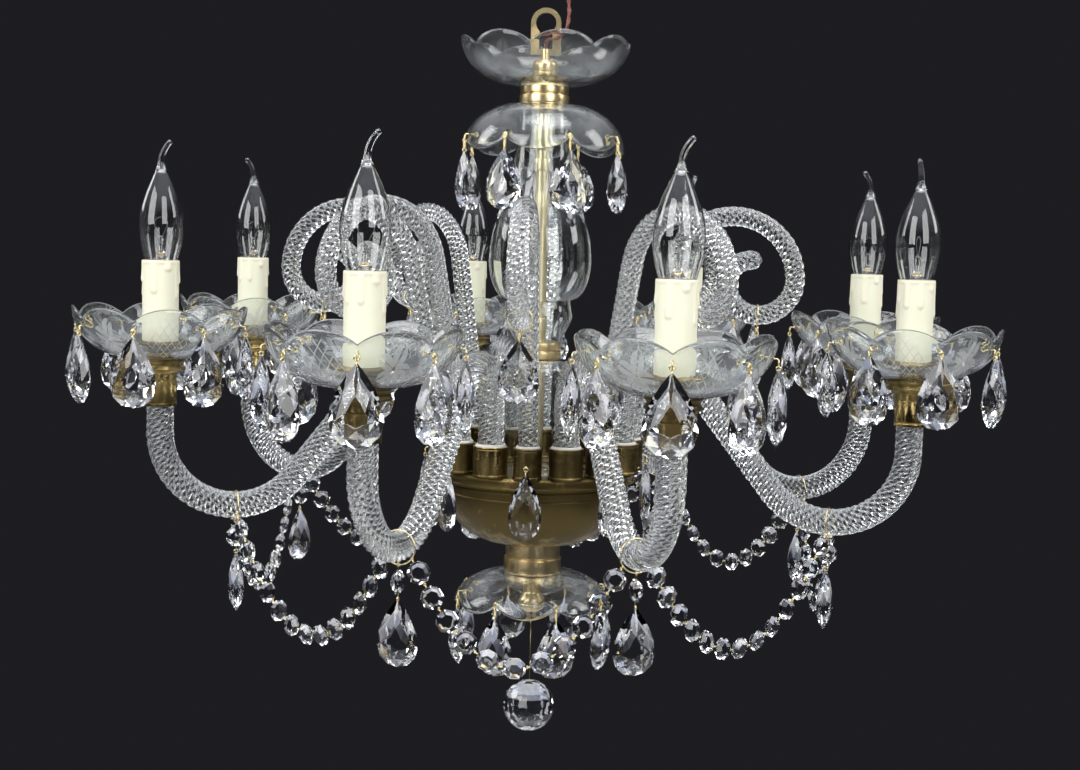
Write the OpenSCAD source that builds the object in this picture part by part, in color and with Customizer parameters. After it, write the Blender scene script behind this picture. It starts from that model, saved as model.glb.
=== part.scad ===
// Glass chandelier with eight candle arms and eight scroll arms.
// The origin is the centre of the hanging loop's eye, +Z is up, and a scroll arm points along -Y.
// Everything hangs from the eye, so the heights run downwards from it, piece by piece.

/* [Hanging loop] */
// Radius of the eye that the ceiling hook goes through
eye_r = 8.5; // [8:0.5:10]
// Width of the bar round the eye
eye_bar = 4; // [3:0.5:6]
// Thickness of the loop along the eye
loop_t = 5; // [4:0.5:7]
// Depth from the eye's centre to the floor of the slot below it
slot_depth = 23; // [20:1:30]
// Width of the slot between the two legs
slot_w = 11; // [8:1:11]
// Height of the bridge under the slot
bridge_h = 5; // [3:1:8]
// Height of the small neck between bridge and nut
neck_h = 5; // [3:1:8]
// Radius of the neck
neck_r = 4; // [3:0.5:4.5]

/* [Centre tube] */
// Radius of the brass tube that carries the whole stack
tube_r = 6; // [5.5:0.5:8]
// Wall of the brass tube
tube_wall = 1; // [0.8:0.1:1.2]
// Diameter of the two-core supply flex
flex_d = 3.4; // [2.4:0.2:3.6]

/* [Ceiling bowl] */
// Radius of the nut that clamps the bowl
nut_r = 10.5; // [9:0.5:14]
// Height of that nut
nut_h = 14.5; // [8:0.5:20]
// Radius of the open bowl at its rim
bowl_r = 71; // [60:1:85]
// Height of the bowl to its rim crests
bowl_h = 38; // [30:1:48]

/* [Dishes] */
// Wall of the bowl, the dishes and the drip pans
glass_wall = 3.6; // [3:0.2:5]
// Number of scallops on every rim
scallops = 8; // [6:1:8]
// Depth of the notches between the scallops
notch = 9; // [5:1:11]
// Radius of the upper dish at its rim
upper_dish_r = 68; // [60:1:78]
// Height of the upper dish
upper_dish_h = 41; // [34:1:48]
// Radius of the lower dish at its rim
lower_dish_r = 67; // [58:1:72]
// Height of the lower dish
lower_dish_h = 28; // [26:1:40]

/* [Stem] */
// Radius of the double-ring collar under the bowl
top_collar_r = 20.75; // [17:0.25:26]
// Height of that collar
top_collar_h = 15.5; // [12:0.5:22]
// Height of the blown baluster
baluster_h = 195; // [170:1:220]
// Radius of the baluster's belly
belly_r = 43.5; // [36:0.5:50]
// Radius of the baluster's waist
waist_r = 26.5; // [22:0.5:32]
// Wall of the baluster and of the column
vessel_wall = 3; // [2:0.2:4]
// Radius of the collar under the baluster
middle_collar_r = 19.5; // [18.5:0.25:24]
// Height of that collar
middle_collar_h = 15; // [10:1:22]
// Radius of the clear glass column
column_r = 30; // [26:1:36]
// Height of the clear glass column
column_h = 91; // [80:1:110]

/* [Hub] */
// Radius of the circle of cups
cup_ring_r = 80; // [76:1:90]
// Height of the cups
cup_h = 25; // [20:1:32]
// Wall of the cups
cup_wall = 1.5; // [1:0.1:2]
// Plaster round each arm inside its cup
plaster_t = 1.6; // [1:0.1:2.2]
// Reach of the arm plate past the circle of cups
plate_lip = 6; // [4:0.5:8]
// Height of the arm plate
plate_h = 10; // [8:1:14]
// Step from the plate's edge in to the hub bowl
hub_step = 6; // [4:0.5:9]
// Radius of the hub bowl at its foot
hub_foot_r = 28; // [26:1:36]
// Height of the hub bowl
hub_h = 55; // [45:1:65]
// Wall of the hub bowl
hub_wall = 2.5; // [2:0.5:4]
// Radius of the double-ring collar under the hub
bottom_collar_r = 24.5; // [20:0.5:26]
// Height of that collar
bottom_collar_h = 27; // [20:1:34]

/* [Candle arms] */
// Radius of the twisted glass tube
arm_r = 10.75; // [9:0.25:12]
// Straight rise of an arm out of its cup
arm_rise = 61; // [52:1:70]
// Bend radius at the top of an arm
arch_r = 32; // [28:1:38]
// Slope of an arm's straight run below the horizontal
arm_slope = 51; // [46:1:55]
// Length of that straight run
arm_run = 110; // [100:1:125]
// Bend radius at the bottom of an arm
bend_r = 60; // [52:1:68]
// Straight rise at the candle end
arm_end = 33; // [28:1:40]
// Turns of the glass rope in 100 mm
rope_turns = 0.62; // [0.3:0.02:0.8]
// Share of its radius that the rope's grooves lose
rope_groove = 0.12; // [0.06:0.01:0.2]

/* [Scroll arms] */
// Radius of a scroll's twisted glass rod
scroll_r = 8.25; // [7:0.25:9.5]
// Length of a scroll's straight leaning shank
scroll_rise = 144; // [132:1:155]
// Outward lean of the shank
scroll_lean = 12; // [8:1:15]
// Bend radii of a scroll's curl, from the outside in
curl_1 = 52; // [48:1:56]
// Second bend radius of the curl
curl_2 = 30; // [28:1:33]
// Third bend radius of the curl
curl_3 = 26; // [24:1:28]
// Last bend radius of the curl
curl_4 = 20; // [18:1:22]

/* [Candles] */
// Radius of the brass ferrule on an arm's end
ferrule_r = 12.75; // [12.5:0.25:15]
// Height of the ferrule
ferrule_h = 28; // [22:1:36]
// Depth that an arm's end goes into its ferrule
ferrule_grip = 12; // [8:1:16]
// Radius of the gallery under a drip pan
gallery_r = 20; // [17:0.5:24]
// Height of the gallery
gallery_h = 9; // [6:0.5:12]
// Radius of a drip pan
pan_r = 67; // [60:1:74]
// Height of a drip pan
pan_h = 41; // [34:1:46]
// Radius of the lamp holder's disc
disc_r = 23; // [18:0.5:26]
// Radius of a candle sleeve
sleeve_r = 15; // [13.5:0.25:17]
// Height of a candle sleeve
sleeve_h = 65; // [50:1:85]
// Wall of a candle sleeve
sleeve_wall = 1.2; // [0.8:0.1:1.4]
// Largest radius of a bulb
bulb_r = 17.5; // [14:0.5:19]
// Height of a bulb's glass up to its bent tip
bulb_h = 64; // [56:1:76]

/* [Glass drops] */
// Width of a drop on a drip pan
pan_drop_w = 35; // [28:1:38]
// Length of a drop on a drip pan
pan_drop_l = 54; // [44:1:60]
// Width of a drop on the two dishes
dish_drop_w = 32; // [24:1:36]
// Length of a drop on the two dishes
dish_drop_l = 48; // [40:1:54]
// Width of a drop on the hub
hub_drop_w = 27; // [22:1:32]
// Length of a drop on the hub
hub_drop_l = 55; // [44:1:60]
// Width of a drop under a scroll
scroll_drop_w = 31; // [24:1:34]
// Length of a drop under a scroll
scroll_drop_l = 48; // [40:1:54]
// Width of the almond under an arm
pendant_w = 32; // [26:1:36]
// Length of the almond under an arm
pendant_l = 50; // [42:1:56]
// Width of an octagon bead
bead_w = 17; // [13:0.5:18]
// Thickness of an octagon bead
bead_t = 7; // [5:0.5:8]
// Least gap between two beads of a swag, which settles how many it takes
bead_gap = 3; // [2:0.2:5]
// Sag of a swag
swag_sag = 58; // [50:1:66]
// Radius of the faceted ball
ball_r = 22.5; // [18:0.5:26]
// Length of the wire that the ball hangs on
ball_wire = 58; // [48:1:68]

/* [Hidden] */
arm_count = 8;
step_th = 360 / arm_count;
candle_arm_names = [for (k = [1 : arm_count]) str("candle_arm_", k)];
drip_pan_names = [for (k = [1 : arm_count]) str("drip_pan_", k)];
pan_drops_names = [for (k = [1 : arm_count]) str("pan_drops_", k)];
pendant_names = [for (k = [1 : arm_count]) str("arm_pendant_", k)];

$fn = 48;
slip = 0.3;           // running clearance between a piece and what it goes round
fit = 0.1;            // clearance of a brass piece on the tube
wire_r = 0.6;         // radius of the brass wire of hooks and links
hook_hole_r = 1.5;    // radius of the hook holes in the glass
drop_t_share = 0.4;   // thickness of a drop as a share of its width
eps = 0.5;            // overlap of a cutter past the face that it cuts

// Set of each arm in its plaster, as turned by hand, front left arm first
arm_swivel = [7, -2, 8, 0, -3, -7, -4, 1];

// Route of the supply flex from the neck's bore up past the eye
flex_route = [
    [0, 0, -34], [0, 0, -30], [0, 0, -26], [0, 0, -22], [0, -1, -18.5], [1, -4, -16],
    [3, -7.5, -15], [6, -10.5, -15], [9.5, -13, -14.5], [13, -14.5, -13], [16, -15, -10],
    [18, -15, -6], [19, -14.5, -1], [19.5, -13.5, 4], [19.5, -12, 9], [19, -10, 14],
    [18.5, -9, 18], [18.5, -9, 22]];

// Heights of the stack, each worked out from the piece above
slot_z = -slot_depth;
bridge_z = slot_z - bridge_h;
nut_top_z = bridge_z - neck_h;
nut_z = nut_top_z - nut_h;
bowl_z = nut_z - glass_wall;
top_collar_z = bowl_z - top_collar_h;
upper_rim_z = top_collar_z - upper_dish_h;
baluster_top_z = top_collar_z - glass_wall;
baluster_z = baluster_top_z - baluster_h;
middle_collar_z = baluster_z - middle_collar_h;
plate_top_z = middle_collar_z - column_h;
plate_z = plate_top_z - plate_h;
cup_top_z = plate_top_z + cup_h;
hub_z = plate_z - hub_h;
bottom_collar_z = hub_z - bottom_collar_h;
lower_rim_z = bottom_collar_z - lower_dish_h;

finial_nut_r = 11;
finial_nut_h = 18;
washer_t = 12;
finial_nut_top_z = bottom_collar_z - glass_wall;
finial_nut_z = finial_nut_top_z - washer_t - finial_nut_h;
tube_top_z = nut_top_z - 4;
tube_bottom_z = finial_nut_z + 5;
ball_eye_z = finial_nut_z - 4;
ball_z = ball_eye_z - ball_wire - ball_r;

plate_r = cup_ring_r + plate_lip;
hub_r = plate_r - hub_step;
candle_cup_r = arm_r + plaster_t + cup_wall;
scroll_cup_r = scroll_r + plaster_t + cup_wall;

// Centreline of a glass arm, walked from its cup: each leg is [length or bend radius, turn]
arm_turn = 90 + arm_slope;
lean_r = 40;          // bend radius at which a scroll leans outwards above its cup
arm_legs = [[arm_rise, 0], [arch_r, -arm_turn], [arm_run, 0], [bend_r, arm_slope], [bend_r, 90],
    [arm_end, 0]];
scroll_legs = [[cup_h, 0], [lean_r, -scroll_lean], [scroll_rise, 0], [curl_1, scroll_lean - 180],
    [curl_2, -90], [curl_3, -90], [curl_4, -90]];
ring_step = 12;       // distance between the rings of a swept tube
arm_sides = 8;

function leg_length(leg) = leg[1] == 0 ? leg[0] : leg[0] * abs(leg[1]) * PI / 180;
// A pose is [x, z, heading, distance walked]
function advance(p, leg, f) =
    leg[1] == 0
    ? [p[0] + leg[0] * f * cos(p[2]), p[1] + leg[0] * f * sin(p[2]), p[2], p[3] + leg[0] * f]
    : let (s = sign(leg[1]), h = p[2] + leg[1] * f,
           cx = p[0] - s * leg[0] * sin(p[2]), cz = p[1] + s * leg[0] * cos(p[2]))
      [cx + s * leg[0] * sin(h), cz - s * leg[0] * cos(h), h, p[3] + leg_length(leg) * f];
function walk(legs, p, i = 0) =
    i == len(legs) ? [p]
    : let (n = ceil(leg_length(legs[i]) / ring_step))
      concat([for (j = [0 : n - 1]) advance(p, legs[i], j / n)],
             walk(legs, advance(p, legs[i], 1), i + 1));
function pose_after(legs, p, count, i = 0) =
    i == count ? p : pose_after(legs, advance(p, legs[i], 1), count, i + 1);

arm_start = [0, plate_top_z, 90, 0];
arm_path = walk(arm_legs, arm_start);
arm_low = pose_after(arm_legs, arm_start, 4);
arm_tip = pose_after(arm_legs, arm_start, 6);
scroll_path = walk(scroll_legs, arm_start);
scroll_low = pose_after(scroll_legs, arm_start, 5);

arm_reach = arm_tip[0];
ferrule_z = arm_tip[1] - ferrule_grip;
gallery_z = ferrule_z + ferrule_h;
pan_z = gallery_z + gallery_h;
pan_floor_z = pan_z + glass_wall;
boss_h = 5;
disc_t = 3;
disc_z = pan_floor_z + boss_h;
sleeve_z = disc_z + disc_t;
sleeve_top_z = sleeve_z + sleeve_h;
holder_r = sleeve_r - sleeve_wall - slip;
bulb_cap_r = 7;
bulb_cap_h = 24;
// A wire loop rests on its arm's top and hangs this much lower below it
loop_hang = 0.75;
loop_r = arm_r + slip + wire_r + loop_hang;
loop_z = arm_low[1] - loop_hang;
pendant_pivot_z = loop_z - loop_r;

function dir(a) = [cos(a), sin(a)];
function candle_angle(k) = (k - 0.5) * step_th - 90 - step_th;
function cup_xy(k) = cup_ring_r * dir(candle_angle(k));
function arm_angle(k) = candle_angle(k) + arm_swivel[(k - 1 + arm_count) % arm_count];
function low_xy(k) = cup_xy(k) + arm_low[0] * dir(arm_angle(k));

// Children stand on the spoke at an angle counted from -Y, with +X outwards
module spoke(th, rho = 0) {
    rotate([0, 0, th - 90]) translate([rho, 0, 0]) children();
}

// Children stand in arm k's cup, with +X along the arm
module at_arm(k) {
    translate(concat(cup_xy(k), 0)) rotate([0, 0, arm_angle(k)]) children();
}

module at_candle(k) {
    at_arm(k) translate([arm_reach, 0, 0]) children();
}

// A closed tube swept along a path in the XZ plane, its section turning as it goes
module rope(path, radius, free_end = false) {
    n = arm_sides;
    bead = free_end ? [30, 60, 85] : [];
    last = path[len(path) - 1];
    rings = concat(
        [for (p = path) [p, 1]],
        [for (a = bead) [advance(last, [radius * sin(a), 0], 1), cos(a)]]);
    points = [for (ring = rings) for (i = [0 : n - 1])
        let (p = ring[0],
             a = 360 * i / n + 3.6 * rope_turns * p[3],
             r = radius * ring[1] * (i % 2 == 0 ? 1 : 1 - rope_groove),
             u = r * cos(a))
        [p[0] - u * sin(p[2]), r * sin(a), p[1] + u * cos(p[2])]];
    m = len(rings);
    sides = [for (j = [0 : m - 2]) for (i = [0 : n - 1])
        let (i2 = (i + 1) % n, q = j * n, t = q + n)
        each [[q + i, q + i2, t + i2], [q + i, t + i2, t + i]]];
    start_cap = [for (i = [1 : n - 2]) [0, i + 1, i]];
    end_cap = [for (i = [1 : n - 2]) let (q = (m - 1) * n) [q, q + i, q + i + 1]];
    polyhedron(points, concat(sides, start_cap, end_cap), convexity = 10);
}

// A cut drop hanging below the origin, flat across Y: a girdle and a raised point on each face
drop_points = 12;
ball_facets = 12;
ball_top = ball_r * cos(180 / ball_facets);
module cut_drop(w, l) {
    t = w * drop_t_share;
    girdle = [for (i = [0 : drop_points - 1])
        let (a = 360 * i / drop_points, u = (1 - cos(a)) / 2)
        [w / 2 * sin(a) * sqrt(u) / 0.77, 0, -l * u]];
    points = concat(girdle, [[0, -t / 2, -0.66 * l], [0, t / 2, -0.66 * l]]);
    faces = [for (i = [0 : drop_points - 1]) let (j = (i + 1) % drop_points)
        each [[i, j, drop_points], [j, i, drop_points + 1]]];
    polyhedron(points, faces);
}

// A wire hook: its pin lies inwards through a hole at the origin, its stem hangs outside
hook_out = 3.2;
hook_stem = 5;
stem_r = wire_r - 0.1;  // a thinner stem meets its pin in one clean seam
module hook(reach_in, out, head) {
    translate([-reach_in, 0, 0]) rotate([0, 90, 0]) cylinder(r = wire_r, h = reach_in + out + wire_r);
    translate([out, 0, -hook_stem]) cylinder(r = stem_r, h = hook_stem);
    if (head) translate([-reach_in, 0, 0]) sphere(r = 2 * wire_r);
}

// A hook with its cut drop, facing outwards
module hooked_drop(w, l, reach_in, out = hook_out, head = true) {
    hook(reach_in, out, head);
    translate([out, 0, -hook_stem - slip]) rotate([0, 0, 90]) cut_drop(w, l);
}

// Wall of a dish: a quarter of an ellipse from a flat foot to an upright rim
dish_steps = 7;
function dish_curve(r, h, foot, z0) = [for (i = [0 : dish_steps])
    let (a = 90 * i / dish_steps) [foot + (r - foot) * sin(a), z0 + (h - z0) * (1 - cos(a))]];
// The notches stand half a step round, and the hook holes lie below them
function notch_angle(i) = 360 * (i + 0.5) / scallops;
function hole_z(h) = h - notch - 5;
function wall_r_at(r, h, foot, z) = foot + (r - foot) * sqrt(1 - pow(1 - z / h, 2));
dish_foot_r = 22;
crest_flat = 0.2;     // the lobes rise this far past the rim, which leaves their crests flat

// An open dish standing on z = 0, with scalloped rim, centre bore and hook holes
module dish(r, h, bore_r, holes = true) {
    outer = dish_curve(r, h, dish_foot_r, 0);
    inner = dish_curve(r - glass_wall, h, dish_foot_r, glass_wall);
    half_lobe = r * sin(180 / scallops);
    deep = notch + crest_flat;
    lobe_r = (pow(half_lobe, 2) + pow(deep, 2)) / (2 * deep);
    difference() {
        rotate_extrude() polygon(concat(
            [[bore_r, 0]], outer, [for (i = [dish_steps : -1 : 0]) inner[i]], [[bore_r, glass_wall]]));
        for (i = [0 : scallops - 1]) rotate([0, 0, notch_angle(i)]) {
            translate([r - 25, 0, h]) rotate([90, 0, 90]) linear_extrude(50) difference() {
                translate([1 - half_lobe, -notch - 1]) square([2 * half_lobe - 2, 2 * notch + 1]);
                for (s = [-1, 1]) translate([s * half_lobe, crest_flat - lobe_r])
                    circle(r = lobe_r);
            }
            if (holes) translate([r - 25, 0, hole_z(h)]) rotate([0, 90, 0])
                cylinder(r = hook_hole_r, h = 50);
        }
    }
}

// Drops round a dish; upside is 1 for a standing dish and -1 for an inverted one
module dish_drops(r, h, w, l, upside = 1) {
    z = hole_z(h);
    wall = wall_r_at(r, h, dish_foot_r, z);
    // Where the wall still flares below the hook, the stem hangs clear of it
    flare = upside < 0 ? wall_r_at(r, h, dish_foot_r, z + hook_stem) - wall : 0;
    out = max(hook_out, flare + stem_r + 2 * slip);
    for (i = [0 : scallops - 1]) rotate([0, 0, notch_angle(i)])
        translate([wall, 0, upside * z - (hook_hole_r - wire_r - slip)])
            hooked_drop(w, l, glass_wall + 2 * wire_r + 1, out);
}

// A turned ring pair with a groove between, standing on z = 0
module ring_collar(r, h, bore_r, groove = 1.5) {
    rotate_extrude() polygon([
        [bore_r, 0], [r - 1, 0], [r, 1], [r, h / 2 - groove / 2], [r - groove, h / 2],
        [r, h / 2 + groove / 2], [r, h - 1], [r - 1, h], [bore_r, h]]);
}

// Shell of revolution between stations [depth, radius], eased so that each is a crest or a waist
ease_steps = 6;
function eased(stations) = concat(
    [for (i = [0 : len(stations) - 2]) for (j = [0 : ease_steps - 1])
        let (a = stations[i], b = stations[i + 1], f = j / ease_steps, e = (1 - cos(180 * f)) / 2)
        [a[1] + (b[1] - a[1]) * e, -(a[0] + (b[0] - a[0]) * f)]],
    [[stations[len(stations) - 1][1], -stations[len(stations) - 1][0]]]);

module hanging_loop() {
    eye_out = eye_r + eye_bar;
    color("darkgoldenrod") difference() {
        union() {
            rotate([90, 0, 0]) cylinder(r = eye_out, h = loop_t, center = true);
            translate([-eye_out, -loop_t / 2, bridge_z]) cube([2 * eye_out, loop_t, -bridge_z]);
            translate([0, 0, nut_top_z - 4]) cylinder(r = neck_r, h = neck_h + 4 + bridge_h);
        }
        rotate([90, 0, 0]) cylinder(r = eye_r, h = loop_t + 2 * eps, center = true);
        translate([-slot_w / 2, -loop_t, slot_z]) cube([slot_w, 2 * loop_t, slot_depth]);
        translate([0, 0, nut_top_z - 5]) cylinder(r = flex_d / 2 + slip, h = neck_h + bridge_h + 10);
    }
}

module supply_flex() {
    n = 8;
    pts = flex_route;
    m = len(pts);
    function unit(v) = v / norm(v);
    function tangent(i) = unit(pts[min(i + 1, m - 1)] - pts[max(i - 1, 0)]);
    side = [0.6, 0.8, 0];
    points = [for (i = [0 : m - 1])
        let (t = i == 0 || i == m - 1 ? [0, 0, 1] : tangent(i),
             u = unit(side - (side * t) * t), v = cross(t, u))
        for (k = [0 : n - 1]) pts[i] + flex_d / 2 * (cos(360 * k / n) * u + sin(360 * k / n) * v)];
    sides = [for (j = [0 : m - 2]) for (k = [0 : n - 1])
        let (k2 = (k + 1) % n, q = j * n, t = q + n)
        each [[q + k, t + k2, q + k2], [q + k, t + k, t + k2]]];
    start_cap = [for (k = [1 : n - 2]) [0, k, k + 1]];
    end_cap = [for (k = [1 : n - 2]) let (q = (m - 1) * n) [q, q + k + 1, q + k]];
    color("saddlebrown") polyhedron(points, concat(sides, start_cap, end_cap));
}

module terminal_block() {
    last = flex_route[len(flex_route) - 1];
    w = 16;
    d = 9;
    h = 15;
    color("ivory") translate(last) difference() {
        translate([-w / 2, -d / 2, 0]) cube([w, d, h]);
        for (s = [-1, 1]) translate([s * w / 4, 0, 4]) cylinder(r = 1.6, h = h);
        for (s = [-1, 1]) translate([s * w / 4, -d, h / 2]) rotate([-90, 0, 0])
            cylinder(r = 1.8, h = d);
    }
}

module bowl_nut() {
    cap = nut_top_z - tube_top_z;
    color("goldenrod") difference() {
        translate([0, 0, nut_z]) rotate_extrude() polygon([
            [0, 0], [nut_r - 1, 0], [nut_r, 1], [nut_r, nut_h - 2], [nut_r - 2, nut_h], [0, nut_h]]);
        translate([0, 0, nut_z - eps]) cylinder(r = tube_r + fit, h = nut_h - cap + eps);
        translate([0, 0, nut_z - eps]) cylinder(r = neck_r + fit, h = nut_h + 2 * eps);
    }
}

module ceiling_bowl() {
    color("lightcyan") translate([0, 0, bowl_z]) dish(bowl_r, bowl_h, tube_r + slip, holes = false);
}

module top_collar() {
    color("gold") translate([0, 0, top_collar_z]) ring_collar(top_collar_r, top_collar_h, tube_r + fit);
}

module upper_dish() {
    color("lightcyan") translate([0, 0, top_collar_z]) mirror([0, 0, 1])
        dish(upper_dish_r, upper_dish_h, tube_r + slip);
}

module upper_dish_drops() {
    color("white") translate([0, 0, top_collar_z])
        dish_drops(upper_dish_r, upper_dish_h, dish_drop_w, dish_drop_l, -1);
}

module baluster() {
    neck = 22;
    foot = middle_collar_r + 0.5;
    stations = [
        [0, neck], [0.12 * baluster_h, neck + 0.5], [0.645 * baluster_h, belly_r],
        [0.82 * baluster_h, waist_r], [0.89 * baluster_h, waist_r + 1.8], [baluster_h, foot]];
    outer = eased(stations);
    color("lightcyan") translate([0, 0, baluster_top_z]) rotate_extrude() polygon(concat(
        outer, [for (i = [len(outer) - 1 : -1 : 0]) [outer[i][0] - vessel_wall, outer[i][1]]]));
}

module middle_collar() {
    color("gold") translate([0, 0, middle_collar_z])
        ring_collar(middle_collar_r, middle_collar_h, tube_r + fit);
}

module centre_tube() {
    h = tube_top_z - tube_bottom_z;
    color("goldenrod") translate([0, 0, tube_bottom_z]) difference() {
        cylinder(r = tube_r, h = h);
        translate([0, 0, -eps]) cylinder(r = tube_r - tube_wall, h = h + 2 * eps);
    }
}

// A clear sleeve with a shoulder at the top that the collar rests on
module glass_column() {
    shoulder = 6;
    color("lightcyan") translate([0, 0, plate_top_z]) rotate_extrude() polygon([
        [column_r - vessel_wall, 0], [column_r, 0], [column_r, column_h - shoulder],
        [column_r - shoulder, column_h], [tube_r + slip, column_h],
        [tube_r + slip, column_h - vessel_wall], [column_r - shoulder - 1, column_h - vessel_wall],
        [column_r - vessel_wall, column_h - shoulder - 1]]);
}

hub_hook_drop = 13;     // height of the hub hooks below the cups' tops
plate_t = 4;
plate_rim_w = 10;
// An open cup that stands on the plate
module cup(r, hook_hole = false) {
    translate([0, 0, plate_top_z + fit]) difference() {
        cylinder(r = r, h = cup_h - fit);
        translate([0, 0, -eps]) cylinder(r = r - cup_wall, h = cup_h + 2 * eps);
        if (hook_hole) translate([r - cup_wall - eps, 0, cup_h - fit - hub_hook_drop])
            rotate([0, 90, 0]) cylinder(r = wire_r + slip, h = cup_wall + 2 * eps);
    }
}

// The plate is a shallow pan turned over, with sixteen cups screwed onto it
module arm_plate() {
    color("darkgoldenrod") {
        translate([0, 0, plate_z]) difference() {
            cylinder(r = plate_r, h = plate_h);
            translate([0, 0, -eps]) cylinder(r = plate_r - plate_rim_w, h = plate_h - plate_t + eps);
            cylinder(r = tube_r + fit, h = plate_h + eps);
        }
        for (k = [1 : arm_count]) {
            translate(concat(cup_xy(k), 0)) cup(candle_cup_r);
            spoke((k - 1) * step_th, cup_ring_r) cup(scroll_cup_r, hook_hole = true);
        }
    }
}

// A ring of plaster with a domed lip, from the cup's floor to just above its edge
module plaster_ring(arm_radius) {
    r = arm_radius + plaster_t;
    lip = 2;
    translate([0, 0, plate_top_z]) difference() {
        rotate_extrude() polygon([[0, 0], [r, 0], [r, cup_h], [r - 0.8, cup_h + lip], [0, cup_h + lip]]);
        translate([0, 0, -eps]) cylinder(r = arm_radius + 0.05, h = 2 * cup_h);
    }
}

module plaster_seats() {
    color("white") for (k = [1 : arm_count]) {
        translate(concat(cup_xy(k), 0)) plaster_ring(arm_r);
        spoke((k - 1) * step_th, cup_ring_r) plaster_ring(scroll_r);
    }
}

module hub_bowl() {
    steps = 8;
    outer = [for (i = [0 : steps]) let (a = 90 * i / steps)
        [hub_foot_r + (hub_r - hub_foot_r) * cos(a), -hub_h * sin(a)]];
    inner = [for (i = [steps : -1 : 0]) let (a = 90 * i / steps)
        [hub_foot_r + (hub_r - hub_wall - hub_foot_r) * cos(a), -(hub_h - hub_wall) * sin(a)]];
    color("darkgoldenrod") translate([0, 0, plate_z]) rotate_extrude() polygon(concat(
        outer, [[tube_r + fit, -hub_h], [tube_r + fit, -hub_h + hub_wall]], inner));
}

module hub_drops() {
    color("white") for (k = [1 : arm_count])
        spoke((k - 1) * step_th, cup_ring_r + scroll_cup_r)
            translate([0, 0, cup_top_z - hub_hook_drop])
                hooked_drop(hub_drop_w, hub_drop_l, cup_wall - 0.2, head = false);
}

module bottom_collar() {
    color("gold") translate([0, 0, bottom_collar_z])
        ring_collar(bottom_collar_r, bottom_collar_h, tube_r + fit);
}

module lower_dish() {
    color("lightcyan") translate([0, 0, bottom_collar_z]) mirror([0, 0, 1])
        dish(lower_dish_r, lower_dish_h, tube_r + slip);
}

module lower_dish_drops() {
    color("white") translate([0, 0, bottom_collar_z])
        dish_drops(lower_dish_r, lower_dish_h, dish_drop_w, dish_drop_l, -1);
}

// The turned nut under the lower dish, with a small eye that the ball's wire goes through
module finial_nut() {
    color("goldenrod") difference() {
        union() {
            translate([0, 0, finial_nut_z]) rotate_extrude() polygon([
                [0, 0], [finial_nut_r - 5, 0], [finial_nut_r, 5], [finial_nut_r, 12],
                [finial_nut_r - 4, finial_nut_h], [finial_nut_r - 4, finial_nut_h + washer_t - 2],
                [finial_nut_r, finial_nut_h + washer_t - 2], [finial_nut_r, finial_nut_h + washer_t],
                [0, finial_nut_h + washer_t]]);
            translate([0, 0, ball_eye_z + 2]) rotate([90, 0, 0])
                cylinder(r = 4.5, h = 3, center = true);
        }
        translate([0, 0, tube_bottom_z]) cylinder(r = tube_r + fit, h = finial_nut_h + washer_t);
        translate([0, 0, ball_eye_z]) rotate([90, 0, 0])
            cylinder(r = wire_r + 1, h = 6, center = true);
    }
}

module finial_ball() {
    color("white") translate([0, 0, ball_z]) sphere(r = ball_r, $fn = ball_facets);
    link_h = 7;
    link_w = 7;
    bar_l = link_w + 2 * wire_r;
    color("gold") translate([0, 0, ball_eye_z]) {
        for (z = [0, -link_h]) translate([0, 0, z]) rotate([90, 0, 0])
            cylinder(r = wire_r, h = bar_l, center = true);
        for (s = [-1, 1]) translate([0, s * link_w / 2, -link_h]) cylinder(r = stem_r, h = link_h);
        translate([0, 0, ball_z + ball_top + slip - ball_eye_z])
            cylinder(r = stem_r, h = ball_eye_z - link_h - ball_z - ball_top - slip);
    }
}

module candle_arm(k) {
    color("aliceblue") at_arm(k) rope(arm_path, arm_r);
}

module scroll_arms() {
    color("aliceblue") for (k = [1 : arm_count])
        spoke((k - 1) * step_th, cup_ring_r) rope(scroll_path, scroll_r, free_end = true);
}

module scroll_drops() {
    r = scroll_r + slip + wire_r;
    color("white") for (k = [1 : arm_count])
        spoke((k - 1) * step_th, cup_ring_r) translate([scroll_low[0], 0, scroll_low[1]]) {
            rotate([0, 90, 0]) rotate_extrude() translate([r, 0]) circle(r = wire_r, $fn = 16);
            translate([0, 0, -r - hook_stem]) cylinder(r = stem_r, h = hook_stem);
            translate([0, 0, -r - hook_stem - slip]) rotate([0, 0, 90])
                cut_drop(scroll_drop_w, scroll_drop_l);
        }
}

module ferrules() {
    color("goldenrod") for (k = [1 : arm_count]) at_candle(k) difference() {
        translate([0, 0, ferrule_z]) rotate_extrude() polygon([
            [0, 0], [ferrule_r, 0], [ferrule_r, ferrule_h - 2], [ferrule_r + 2, ferrule_h],
            [gallery_r - 1, ferrule_h], [gallery_r, ferrule_h + 1.5], [gallery_r - 2, ferrule_h + 3.5],
            [gallery_r - 2, ferrule_h + 5], [gallery_r, ferrule_h + gallery_h - 1],
            [gallery_r, ferrule_h + gallery_h], [0, ferrule_h + gallery_h]]);
        translate([0, 0, ferrule_z - eps]) cylinder(r = arm_r + fit, h = ferrule_grip + eps);
        translate([0, 0, ferrule_z]) cylinder(r = 5, h = ferrule_h + gallery_h + eps);
    }
}

pan_bore_r = 6.5;
module drip_pan(k) {
    color("lightcyan") at_candle(k) translate([0, 0, pan_z + slip]) dish(pan_r, pan_h, pan_bore_r);
}

module pan_drops(k) {
    color("white") at_candle(k) translate([0, 0, pan_z + slip])
        dish_drops(pan_r, pan_h, pan_drop_w, pan_drop_l);
}

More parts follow.
